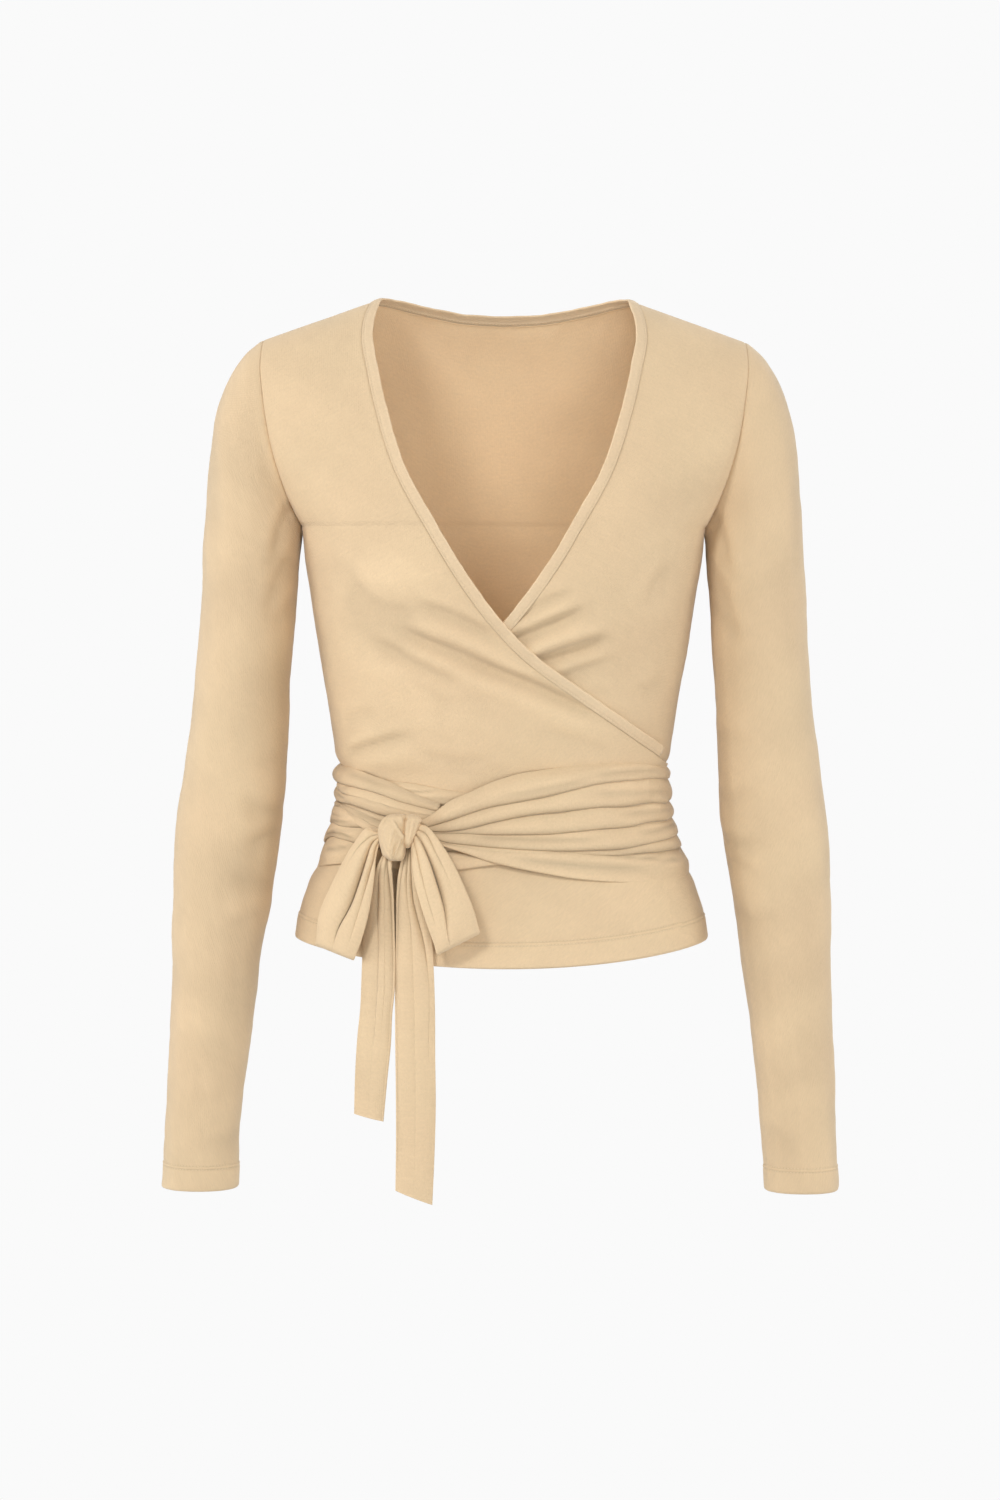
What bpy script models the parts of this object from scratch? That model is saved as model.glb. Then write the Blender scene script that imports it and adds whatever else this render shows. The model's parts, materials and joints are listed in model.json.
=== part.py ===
"""Long-sleeved wrap top in soft jersey, filled out as worn, with its ties wound twice and knotted in a bow.

Frame: +X is the wearer's left, -Y the front, +Z up. The origin lies between the middles of the two
shoulder seams. Lengths below are millimetres and are scaled to metres when a mesh is made.

Every panel is a grid of points on one body surface. Rows run down and columns run anticlockwise seen
from above, so that down x across points out of the body. A wall gives such a grid its thickness.
"""

import math

import bmesh
import bpy
import numpy as np

MM = 0.001

# ---- Cloth -------------------------------------------------------------------------------------------
JERSEY = 1.2
BAND = 2.0
PLEATED = 1.6
TAIL = 2.0
SEAM = 0.3
CAMEL = (0.79, 0.60, 0.38)
ROUGHNESS = 0.85

# ---- Body --------------------------------------------------------------------------------------------
NECK_HALF = 90.0
NECK_Z = 16.0
TIP_HALF = 177.5
TIP_Z = -16.0
SHOULDER_Y = 8.0
UNDERARM_Z = -154.0
ARMHOLE_DEPTH = 42.0
ARMHOLE_ROUND = 2.2
SECTION_ROUND = 2.3
SHOULDER_SECTION = 1.15
SHOULDER_ROUND = 1.7
BUST_OUT = 14.0
BUST_X = 70.0
BUST_Z = -197.0
BUST_WIDE = 42.0
BUST_TALL = 36.0
HEM_SIDE = -457.0
HEM_FRONT = -470.0
HEM_BACK = -464.0
SIDE_SEAM = math.radians(0.07)
SHOULDER_SEAM = 2e-5


def table(columns, rows):
    """Short table with named columns, a row for each section."""
    return {name: np.array(column, float) for name, column in zip(columns.split(), zip(*rows))}


ARMHOLE = table("z half", [
    (-16, 177.5), (-38, 178.2), (-57, 176.3), (-84, 172.0), (-117, 163.0), (-140, 154.5), (-154, 147.7),
])

BODY = table("z half front back", [
    (-154, 147.7, 90, 96), (-178, 145.8, 94, 97), (-200, 142.3, 95, 95), (-222, 139, 94, 92),
    (-245, 135.3, 91, 89), (-278, 129.5, 86, 85), (-303, 125.5, 82.5, 82.5), (-316, 121.8, 78.5, 79.5),
    (-327, 116, 74.8, 76.3), (-336, 113.6, 73.6, 75), (-345, 113.5, 73.5, 75), (-360, 114.5, 74.5, 76),
    (-372, 117, 76.5, 78), (-386, 121, 80, 81), (-404, 129, 86, 87), (-420, 137.5, 91, 92),
    (-436, 145.5, 95, 96), (-456, 152, 99, 99), (-472, 155.5, 102, 102),
])

# The ties draw the waist in, so what is wound on it starts from this plain form.
WAIST = table("z half front back", [
    (-320, 114, 74, 75.5), (-345, 113.5, 73.5, 75), (-360, 114.5, 74.5, 76), (-372, 117, 76.5, 78),
    (-386, 121, 80, 81), (-404, 128.4, 86, 87), (-420, 135.5, 90.5, 92), (-436, 145.5, 95, 96),
    (-456, 152, 99, 99), (-472, 155.5, 102, 102),
])

# Seam between the right front and its band, from the shoulder across to the left side.
NECK_SEAM = table("z x", [
    (12.9, -98.5), (-4, -103.2), (-16, -103.8), (-41, -99.4), (-74, -91.6), (-114, -78.3), (-158, -54.2),
    (-178, -42.3), (-205.6, -23.7), (-223, -10.1), (-247.7, 13.5), (-277.5, 52.5), (-303, 88.5),
    (-325, 117.7), (-332, 126), (-345, 140), (-475, 170),
])
OVER_STOP = math.radians(84)

# Rows of points down the fronts: those above the underarm, then each stretch's lower end and its rows.
OVER_TOP_ROWS = 12
UNDER_TOP_ROWS = 11
FRONT_ROWS = table("low over under", [(-219, 5, 4), (-327, 14, 10), (-346, 3, 3), (-456, 8, 6)])
BAND_STRETCHES = 2
OVER_COLUMNS = 18
UNDER_COLUMNS = 14

BACK_NECK_HALF = 98.5
BACK_NECK_Z = -4.2
BACK_NECK_RISE = 17.1
BACK_NECK_POWER = 1.9
BAND_WIDTH = 8.0
BAND_GAP = 0.45

# Distance out from the body surface to the middle of each layer's wall.
OVER_MIDDLE = 1.5
OVER_END = 2.7
UNDER_MIDDLE = -1.9
UNDER_END = -2.3
INNER_WRAP_OUT = 4.8
TIE_OUT = 8.4
TIE_OUT_AT_KNOT = 12.6
TIE_RISE_START = math.radians(-3)
TIE_RISE_RUN = math.radians(13)

# A pleat swells by its relief, or less where its fold lines run close together.
INNER_PLEAT = 1.5
TIE_PLEAT = 2.6
PLEAT_SHARE = 0.22
PLEAT_NARROW = 0.02
PLEAT_HEM = 0.6

# Largest creases: ends on the body as x, z, then how far they sink and how wide they are.
OVER_CREASES = table("x0 z0 x1 z1 deep wide", [
    (-40, -241, 72, -292, 4.0, 7), (-50, -208, -2, -241, 2.6, 6), (-84, -238, -40, -262, 2.4, 7),
])
OVER_RISE = 1.0
UNDER_CREASES = table("x0 z0 x1 z1 deep wide", [
    (10, -233, 54, -216, 3.0, 6), (24, -248, 69, -234, 3.2, 6),
])
UNDER_RISE = 0.35

# ---- Sleeves: outer edge of the cap, then sections down the arm -----------------------------------------
CAP = table("x z", [
    (178.2, -16.6), (189, -25), (199.5, -40), (209, -63), (215.5, -96), (219, -137), (220.8, -178),
])
UNDERARM_GAP = 1.6
CAP_GAP = 0.8
CAP_BOW = 9.0
CAP_RINGS = 8
SLEEVE_ROUND = 2.1
SLEEVE_COLUMNS = 18
SLEEVE_RINGS = (-203, -230, -262, -296, -330, -360, -390, -424, -462, -506, -550, -597, -640.5)
SLEEVE = table("z x half deep y", [
    (-178, 185.3, 35.5, 46, 0), (-212, 187.8, 34.9, 45, -1), (-245, 190.4, 35.0, 44, -2),
    (-290, 193.5, 35.9, 42, -4), (-334, 197.2, 37.8, 40.5, -7), (-378, 201.8, 39.3, 40, -10),
    (-423, 206.2, 36.4, 37, -14), (-478, 210.8, 32.6, 34, -18), (-534, 215.5, 30.1, 31, -22),
    (-600, 220.8, 28.3, 28, -26), (-640.5, 222.8, 28.1, 27, -28),
])

# ---- Ties: heights of the fold lines round the waist, angle 0 at the front, 90 at the left side -----------
INNER_WRAP = table("angle top g1 g2 g3 bottom", [
    (-180, -345, -359, -373, -387, -401), (-135, -345, -359, -374, -389, -406),
    (-90, -344, -358, -373, -388, -407.5), (-72, -343, -358, -373, -387, -401.7),
    (-57, -341, -357, -373, -386, -399), (-42, -338.7, -355, -372, -386, -399),
    (-12, -345.2, -358, -372, -386, -399.8), (0, -346, -358, -371, -384, -395.6),
    (60, -345, -358, -371, -384, -396), (120, -345, -358, -371, -384, -397),
    (180, -345, -359, -373, -387, -401),
])
TIE_FRONT = table("angle top a b c d bottom", [
    (-27, -367.6, -370.4, -373.2, -375.6, -378.2, -380.6),
    (-21.5, -362.6, -367.3, -371.6, -374.8, -378.2, -381.6),
    (-11.5, -348.6, -359.6, -369.4, -374.8, -381.8, -387.4),
    (-3, -340.2, -351.6, -366.8, -374.4, -384.1, -394.6),
    (4.4, -332.7, -348.4, -362.7, -374.1, -384.7, -398.7),
    (16, -327.8, -344.8, -358.5, -373.1, -385.5, -403.7),
    (32, -323.9, -338.0, -355.3, -371.1, -385.6, -408.0),
    (55, -323.3, -336.6, -354.5, -367.4, -383.0, -411.6),
    (75, -325.5, -338.5, -354.8, -366.8, -379.5, -413.0),
    (90, -328.0, -341.0, -355.5, -366.5, -378.0, -413.0),
])
TIE_BACK = table("angle top a b c d bottom", [
    (90, -328.0, -341.0, -355.5, -366.5, -378.0, -413.0), (120, -328, -340, -353, -365, -377, -408),
    (150, -329, -340, -352, -363, -375, -399), (180, -330, -339, -349, -359, -370, -390),
    (210, -330, -338, -346, -354, -363, -378), (240, -329.5, -337, -343.5, -349.5, -357, -367),
    (270, -328.5, -335.5, -341.2, -346.2, -352.4, -358.4),
])
TIE_LEFT = table("angle top f1 f2 f3 bottom", [
    (-90, -328.5, -341.2, -346.2, -352.4, -358.4), (-66.5, -329.6, -340.7, -348.8, -355.9, -363.6),
    (-54.5, -333.1, -342.6, -351.5, -358.8, -372.5), (-40, -338.3, -347.6, -356.0, -364.0, -379.3),
    (-27.5, -347.1, -353.4, -360.0, -367.0, -377.5), (-18.5, -353.8, -359.2, -363.8, -368.4, -374.2),
])
PLEAT_ROWS = table("share height", [(0.0, 0.1), (0.35, 0.9), (0.9, 1.0)])

WRAP_COLUMNS = 36
FRONT_TIE_COLUMNS = 17
BACK_TIE_COLUMNS = 22
LEFT_TIE_COLUMNS = 10
TIE_ENDS = (math.radians(-26), math.radians(-19))
TIE_SEAM = math.radians(0.12)

# ---- Bow ---------------------------------------------------------------------------------------------
KNOT = table("angle z out across tall deep", [
    (-30.6, -378.6, 24.6, 10.4, 16.0, 10.6), (-23.3, -372.5, 23.2, 7.0, 10.8, 9.3),
])
KNOT_GROOVES = 5
KNOT_GROOVE_DEEP = 0.07
LOOP_SWELL = 1.6
LOOP_FOLD = 1.2
TAIL_FOLD = 1.0
LOOP_LEFT = table("outer_x outer_z inner_x inner_z front back", [
    (-89.9, -374.5, -89.3, -383.5, 24, 20.5), (-98.5, -372.5, -91.0, -393.4, 25, 18),
    (-105.4, -380.6, -91.6, -404.8, 25, 15.5), (-113.8, -394.2, -93.2, -417.7, 24.5, 14),
    (-123.1, -412.8, -96.2, -434.9, 23.5, 13.5), (-131.5, -432.5, -100.8, -451.5, 21.5, 13.5),
    (-133.6, -450.0, -104.6, -461.5, 19.5, 14),
])
LOOP_RIGHT = table("outer_x outer_z inner_x inner_z front back", [
    (-55.2, -368.0, -58.2, -385.0, 24, 20.5), (-49.8, -371.5, -63.9, -395.5, 25.5, 18.5),
    (-43.0, -382.0, -62.4, -407.6, 25.5, 16.5), (-35.1, -394.8, -59.0, -420.4, 25, 15),
    (-27.1, -411.0, -54.2, -435.5, 24, 14), (-20.2, -427.4, -49.4, -448.6, 22, 13.5),
    (-16.8, -439.5, -47.0, -456.5, 20, 14),
])
TAIL_LEFT = table("z left right out", [
    (-394.5, -87.0, -80.8, 24), (-405, -88.4, -79.9, 17.5), (-418, -89.6, -78.0, 11),
    (-432, -93.2, -77.4, 8.5), (-446, -97.4, -77.2, 8), (-471, -100.2, -77.3, 8.5),
    (-501, -101.5, -78.0, 8.5), (-523, -103.6, -79.2, 8), (-550, -105.2, -81.8, 8),
    (-579.5, -105.8, -84.5, 8),
])
TAIL_RIGHT = table("z left right out", [
    (-394.4, -78.8, -72.6, 24), (-405, -76.3, -67.4, 17), (-417, -75.0, -61.2, 10.5),
    (-432, -75.4, -55.6, 8.0), (-447, -75.8, -50.7, 7.5), (-470, -76.2, -48.6, 8),
    (-493, -76.3, -47.7, 8), (-530, -76.0, -47.3, 8), (-566, -75.5, -46.8, 7.5),
    (-601, -75.3, -47.6, 7.5), (-636, -75.6, -49.0, 7.5),
])
TAIL_SLANT = 3.0


# ---- Sums --------------------------------------------------------------------------------------------
def smooth(at, given, values):
    """Cubic through a table's rows, with each row's slope taken from its neighbours."""
    if given[0] > given[-1]:
        given, values = given[::-1], values[::-1]
    at = np.clip(at, given[0], given[-1])
    slope = np.gradient(values, given)
    row = np.clip(np.searchsorted(given, at) - 1, 0, len(given) - 2)
    step = given[row + 1] - given[row]
    u = (at - given[row]) / step
    ends = (1 + 2 * u) * (1 - u) ** 2 * values[row] + u * u * (3 - 2 * u) * values[row + 1]
    return ends + u * (1 - u) * step * ((1 - u) * slope[row] - u * slope[row + 1])


def ease(share):
    """Smooth step from 0 to 1."""
    share = np.clip(share, 0, 1)
    return share * share * (3 - 2 * share)


def outward(grid, around=False):
    """Unit normals of a grid of points, from its slopes down and across."""
    wide = np.concatenate([grid[:, -1:], grid, grid[:, :1]], 1) if around else grid
    across = np.gradient(wide, axis=1)
    if around:
        across = across[:, 1:-1]
    normal = np.cross(np.gradient(grid, axis=0), across)
    return normal / np.linalg.norm(normal, axis=2, keepdims=True)


def to_angle(share):
    """Angle round the section for a share of its half width."""
    return np.arcsin(np.sign(share) * np.abs(share) ** (SECTION_ROUND / 2))


def to_share(angle):
    """Share of the section's half width at an angle, which spaces columns evenly round it."""
    return np.sign(angle) * np.abs(np.sin(angle)) ** (2 / SECTION_ROUND)


# ---- Body surface ------------------------------------------------------------------------------------
def shoulder_z(x):
    """Height of the sloping shoulder seam, rounded over where the neck is cut out."""
    x = np.abs(x)
    x = np.where(x < NECK_HALF, (x * x / NECK_HALF + NECK_HALF) / 2, x)
    return NECK_Z - (x - NECK_HALF) * (NECK_Z - TIP_Z) / (TIP_HALF - NECK_HALF)


def flank(share, power):
    """How far a section stands out: 1 in the middle, 0 at its sides."""
    return (1 - np.minimum(np.abs(share), 1) ** SECTION_ROUND) ** (1 / power)


def armhole_half(down):
    """Half width between the armholes, at a share of the way from shoulder to underarm."""
    return smooth(TIP_Z + (UNDERARM_Z - TIP_Z) * down, ARMHOLE["z"], ARMHOLE["half"])


def armhole_y(down, side):
    """Front (side -1) or back (side 1) of the oval armhole."""
    oval = (1 - np.abs(2 * down - 1) ** ARMHOLE_ROUND) ** (1 / ARMHOLE_ROUND)
    return SHOULDER_Y * (1 - down) + side * ARMHOLE_DEPTH * oval


def body(share, level, side):
    """Body surface: share -1 to 1 across, level 0 at the shoulder, 1 at the underarm and 2 at the hem."""
    share, level = np.broadcast_arrays(share, level)
    face = "front" if side < 0 else "back"
    down = np.clip(level, 0, 1)
    top = shoulder_z(TIP_HALF * share)
    profile = (1 - (1 - down) ** SHOULDER_ROUND) ** (1 / SHOULDER_ROUND)
    power = SHOULDER_SECTION + (SECTION_ROUND - SHOULDER_SECTION) * ease(down)
    edge = armhole_y(down, side)
    middle = SHOULDER_Y * (1 - down) + side * BODY[face][0] * profile
    upper = (share * armhole_half(down), edge + (middle - edge) * flank(share, power),
             top + (UNDERARM_Z - top) * down)
    hem = HEM_SIDE + ((HEM_FRONT if side < 0 else HEM_BACK) - HEM_SIDE) * (1 - share * share)
    z = UNDERARM_Z + (hem - UNDERARM_Z) * np.clip(level - 1, 0, 1)
    depth = smooth(z, BODY["z"], BODY[face])
    lower = (share * smooth(z, BODY["z"], BODY["half"]), side * depth * flank(share, SECTION_ROUND), z)
    points = np.where((level > 1)[..., None], np.stack(lower, -1), np.stack(upper, -1))
    if side < 0:
        points[..., 1] -= bust(points) * (1 - share ** 6)
    return points


def body_outward(share, level, side):
    """Unit normals of the body surface itself, from small steps about each point."""
    share, level = np.broadcast_arrays(share, level)
    angle = to_angle(share)
    turn, drop = math.radians(0.5), 0.004
    first = np.clip(level - drop, SHOULDER_SEAM, 2)
    across = body(to_share(angle + turn), level, side) - body(to_share(angle - turn), level, side)
    down = body(share, np.clip(level + drop, 0, 2), side) - body(share, first, side)
    normal = np.cross(down, -side * across)
    return normal / np.linalg.norm(normal, axis=-1, keepdims=True)


def bust(points):
    """Fullness that the cut gives the fronts: two soft rises."""
    x, z = points[..., 0], points[..., 2]
    pair = np.exp(-((x - BUST_X) / BUST_WIDE) ** 2 / 2) + np.exp(-((x + BUST_X) / BUST_WIDE) ** 2 / 2)
    return BUST_OUT * pair * np.exp(-((z - BUST_Z) / BUST_TALL) ** 2 / 2)


def creases(points, table_of_creases, rise):
    """Troughs in soft swells, each fading at its ends; a rise of 1 brings the troughs up to the body."""
    x, z = points[..., 0], points[..., 2]
    total = np.zeros(x.shape)
    for x0, z0, x1, z1, deep, wide in zip(*table_of_creases.values()):
        length = math.hypot(x1 - x0, z1 - z0)
        along = ((x - x0) * (x1 - x0) + (z - z0) * (z1 - z0)) / length
        off = ((x - x0) * (z1 - z0) - (z - z0) * (x1 - x0)) / length / wide
        ends = ease(along / (0.3 * length)) * ease((length - along) / (0.3 * length))
        total += deep * ends * (rise * np.exp(-(off / 1.9) ** 2) - np.exp(-(off / 0.8) ** 2))
    return total


def neck_edge(level):
    """Share across at which the front neck seam crosses each level, found by closing in on it."""
    share = np.full(level.shape, -0.5)
    for _ in range(60):
        here = body(share, level, -1)
        half = np.where(level > 1, smooth(here[..., 2], BODY["z"], BODY["half"]),
                        armhole_half(np.clip(level, 0, 1)))
        target = smooth(here[..., 2], NECK_SEAM["z"], NECK_SEAM["x"]) / half
        share = np.clip(0.5 * share + 0.5 * target, -1, to_share(OVER_STOP))
    return share


def levels(top_rows, lows, counts):
    """Levels from the shoulder over the rounded shoulder to the underarm, then in even stretches."""
    rows = [np.linspace(SHOULDER_SEAM ** (1 / 1.6), 1, top_rows, endpoint=False) ** 1.6]
    high = UNDERARM_Z
    for low, count in zip(lows, counts):
        z = np.linspace(high, low, int(count), endpoint=False)
        rows.append(1 + (UNDERARM_Z - z) / (UNDERARM_Z - HEM_FRONT))
        high = low
    return np.append(np.concatenate(rows), 2.0)


def front_grid(level, columns):
    """Grid of the right front, from its side seam to its neck seam."""
    first = SIDE_SEAM - math.pi / 2
    last = to_angle(neck_edge(level))
    angle = first + (last - first)[:, None] * np.linspace(0, 1, columns)
    return to_share(angle)


def lift(share, level, middle, end):
    """How far a front's wall lies off the body: none at its own seams, most at the far side."""
    across = middle * ease((share + 1) / 0.4) + (end - middle) * ease((share - 0.5) / 0.4)
    return across * ease((level - 0.6) / 0.5)


def mirrored(grid):
    """The same grid on the other side of the body, its columns turned round to keep its outside out."""
    return grid[:, ::-1] * np.array([-1, 1, 1])


# ---- Meshes ------------------------------------------------------------------------------------------
def bridge(first, second):
    """Quads between two lines of points."""
    return np.stack([first[:-1], first[1:], second[1:], second[:-1]], 1)


def fabric(name):
    """Matte camel jersey."""
    material = bpy.data.materials.new(name)
    material.use_nodes = True
    shader = material.node_tree.nodes["Principled BSDF"]
    shader.inputs["Base Color"].default_value = (*CAMEL, 1)
    shader.inputs["Roughness"].default_value = ROUGHNESS
    return material


def solid(name, points, faces):
    """Closed mesh object in metres, its faces turned outward."""
    mesh = bpy.data.meshes.new(name)
    mesh.from_pydata((points * MM).tolist(), [], faces)
    work = bmesh.new()
    work.from_mesh(mesh)
    bmesh.ops.triangulate(work, faces=work.faces, quad_method="SHORT_EDGE")
    bmesh.ops.recalc_face_normals(work, faces=work.faces)
    work.to_mesh(mesh)
    work.free()
    mesh.shade_smooth()
    mesh.materials.append(fabric(name + "_jersey"))
    item = bpy.data.objects.new(name, mesh)
    bpy.context.collection.objects.link(item)
    return item


def wall(name, middle, thickness, around=False, normal=None):
    """Closed wall of even thickness about a grid of points; around joins its last column to its first."""
    half = (outward(middle, around) if normal is None else normal) * thickness / 2
    points = np.concatenate([(middle + half).reshape(-1, 3), (middle - half).reshape(-1, 3)])
    outer = np.arange(middle.shape[0] * middle.shape[1]).reshape(middle.shape[:2])
    if around:
        outer = np.hstack([outer, outer[:, :1]])
    inner = outer + middle.shape[0] * middle.shape[1]
    faces = [bridge(sheet[k], sheet[k + 1]) for sheet in (outer, inner) for k in range(len(outer) - 1)]
    faces += [bridge(outer[k], inner[k]) for k in (0, -1)]
    if not around:
        faces += [bridge(outer[:, k], inner[:, k]) for k in (0, -1)]
    return solid(name, points, np.concatenate(faces).tolist())


# ---- Pieces ------------------------------------------------------------------------------------------
def make_fronts():
    """Right front over, left front under, each with a band along its neck edge."""
    level = levels(OVER_TOP_ROWS, FRONT_ROWS["low"], FRONT_ROWS["over"])
    share = front_grid(level, OVER_COLUMNS)
    base = body(share, level[:, None], -1)
    out = lift(share, level[:, None], OVER_MIDDLE, OVER_END) + creases(base, OVER_CREASES, OVER_RISE)
    normal = body_outward(share, level[:, None], -1)
    wall("right_front", base + normal * out[..., None], JERSEY, normal=normal)

    level = levels(UNDER_TOP_ROWS, FRONT_ROWS["low"], FRONT_ROWS["under"])
    share = front_grid(level, UNDER_COLUMNS)
    base = body(share, level[:, None], -1)
    turned = base * np.array([-1, 1, 1])
    out = lift(share, level[:, None], UNDER_MIDDLE, UNDER_END) + creases(turned, UNDER_CREASES, UNDER_RISE)
    normal = body_outward(share, level[:, None], -1)
    wall("left_front", mirrored(base + normal * out[..., None]), JERSEY, normal=mirrored(normal))


def beyond(seam, normal):
    """Unit direction across a band that carries a surface on past its seam."""
    run = np.gradient(seam, axis=0)
    over = np.cross(normal, run)
    return over / np.linalg.norm(over, axis=1, keepdims=True)


def make_front_bands():
    """Bands of even width that carry on the fronts beyond their neck seams."""
    sides = (("neckband_right", OVER_MIDDLE, OVER_END, OVER_TOP_ROWS, "over"),
             ("neckband_left", UNDER_MIDDLE, UNDER_END, UNDER_TOP_ROWS, "under"))
    for name, middle, end, top_rows, rows in sides:
        level = levels(top_rows, FRONT_ROWS["low"][:BAND_STRETCHES], FRONT_ROWS[rows][:BAND_STRETCHES])[:-1]
        share = neck_edge(level)
        normal = body_outward(share, level, -1)
        seam = body(share, level, -1) + normal * lift(share, level, middle, end)[:, None]
        over = beyond(seam, normal)
        over[0, 1] = 0
        width = BAND_GAP + np.linspace(0, BAND_WIDTH, 3)
        grid = seam[:, None] + over[:, None] * width[:, None]
        wall(name, grid if name.endswith("right") else mirrored(grid), BAND)


def back_neck_level(share):
    """Level at which the back neck seam crosses each column."""
    x = TIP_HALF * np.abs(share)
    dip = BACK_NECK_Z + BACK_NECK_RISE * np.minimum(x / BACK_NECK_HALF, 1) ** BACK_NECK_POWER
    top = shoulder_z(x)
    level = (top - dip) / (top - UNDERARM_Z)
    return np.where(x < BACK_NECK_HALF, np.maximum(level, SHOULDER_SEAM), SHOULDER_SEAM)


def make_back():
    """Back panel from the shoulder seams and back neck to the hem, with its neck band."""
    neck = to_angle(np.array([BACK_NECK_HALF / TIP_HALF]))[0]
    end = math.pi / 2 - SIDE_SEAM
    angle = np.concatenate([np.linspace(end, neck, 5)[:-1], np.linspace(neck, -neck, 13),
                            np.linspace(-neck, -end, 5)[1:]])
    share = to_share(angle)
    start = back_neck_level(share)
    upper = start + (1 - start) * (np.linspace(0, 1, 10, endpoint=False) ** 1.6)[:, None]
    lower = np.linspace(1, 2, 17)[:, None] + 0 * start
    wall("back", body(share, np.concatenate([upper, lower]), 1), JERSEY)

    angle = np.linspace(neck, -neck, 13)
    share = to_share(angle)
    start = back_neck_level(share)
    seam = body(share, start, 1)
    over = beyond(seam, body_outward(share, start, 1))
    over[[0, -1], 1] = 0
    width = BAND_GAP + np.linspace(BAND_WIDTH, 0, 3)
    grid = seam + over * width[:, None, None]
    grid[:, [0, -1], 1] += SEAM
    wall("neckband_back", grid, BAND)


def ring(outer, under, bow, deep, y, power):
    """Sleeve section from its outer point to its under point, drawn out front and back."""
    turn = np.linspace(0, 2 * math.pi, SLEEVE_COLUMNS, endpoint=False)
    share = (1 - np.cos(turn)) / 2
    oval = np.maximum(1 - np.abs(np.cos(turn)) ** power, 0) ** (1 / power)
    x = outer[0] + (under[0] - outer[0]) * share + bow[0] * oval ** 2
    z = outer[1] + (under[1] - outer[1]) * share + bow[1] * oval ** 2
    return np.stack([x, y * (1 - share) - np.sign(np.sin(turn)) * deep * oval, z], 1)


def make_sleeves():
    """Sleeves: rings fan from the armhole about the underarm, then follow the arm down to the cuff."""
    turn = np.linspace(0, 2 * math.pi, SLEEVE_COLUMNS, endpoint=False)
    down = (1 - np.cos(turn)) / 2
    side = np.where(np.sin(turn) > 0, -1, 1)
    gap = CAP_GAP + (UNDERARM_GAP - CAP_GAP) * down
    z = TIP_Z + (UNDERARM_Z - TIP_Z) * down
    armhole = np.stack([armhole_half(down) + gap, armhole_y(down, side), z], 1)
    under_x = armhole_half(np.array([1.0]))[0] + UNDERARM_GAP
    top = SLEEVE["x"][0] + SLEEVE["half"][0]
    bottom = SLEEVE["x"][0] - SLEEVE["half"][0]
    rings = []
    run = np.append(0, np.cumsum(np.hypot(np.diff(CAP["x"]), np.diff(CAP["z"]))))
    for g in np.linspace(0, 1, CAP_RINGS) ** 1.15:
        outer = [smooth(g * run[-1], run, CAP["x"]), smooth(g * run[-1], run, CAP["z"])]
        under = [under_x + (bottom - under_x) * g, UNDERARM_Z + (SLEEVE["z"][0] - UNDERARM_Z) * g]
        bow = CAP_BOW * (1 - g) ** 2
        deep = ARMHOLE_DEPTH + (SLEEVE["deep"][0] - ARMHOLE_DEPTH) * g
        section = ring(outer, under, (bow, bow * 0.4), deep, SHOULDER_Y * (1 - g), ARMHOLE_ROUND)
        if not rings:
            spare = armhole - section
        rings.append(section + spare * (1 - g) ** 3)
    for z in SLEEVE_RINGS:
        x, half, deep, y = (smooth(z, SLEEVE["z"], SLEEVE[name]) for name in ("x", "half", "deep", "y"))
        section = ring((x + half, z), (x - half, z), (0, 0), deep, 0, SLEEVE_ROUND)
        rings.append(section + [0, y, 0])
    grid = np.stack(rings)[:, ::-1]
    wall("sleeve_left", grid, JERSEY, around=True)
    wall("sleeve_right", mirrored(grid), JERSEY, around=True)


def waist(angle, z, out):
    """Point at an angle round the waist, a distance out from it."""
    half = smooth(z, WAIST["z"], WAIST["half"]) + out
    front = smooth(z, WAIST["z"], WAIST["front"])
    back = smooth(z, WAIST["z"], WAIST["back"])
    depth = np.where(np.cos(angle) > 0, front, back) + out
    round_it = np.abs(np.cos(angle)) ** (2 / SECTION_ROUND) * np.sign(np.cos(angle))
    x = half * np.abs(np.sin(angle)) ** (2 / SECTION_ROUND) * np.sign(np.sin(angle))
    return np.stack([x, -depth * round_it, z + 0 * x], -1)


def pleated(lines, angle, out, relief):
    """Wound tie: between two fold lines the cloth swells downward, then steps in under the next fold."""
    names = [name for name in lines if name != "angle"]
    line = np.stack([smooth(angle, np.radians(lines["angle"]), lines[name]) for name in names])
    rows, heights = [], []
    for high, low in zip(line[:-1], line[1:]):
        for share, height in zip(*PLEAT_ROWS.values()):
            rows.append(high + (low - high) * share)
            tall = high - low
            swell = np.minimum(np.minimum(relief, PLEAT_SHARE * tall), PLEAT_NARROW * tall ** 2)
            heights.append(height * swell)
    rows.append(line[-1])
    heights.append(PLEAT_HEM * heights[-1])
    return waist(angle, np.stack(rows), out + np.stack(heights))


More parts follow.
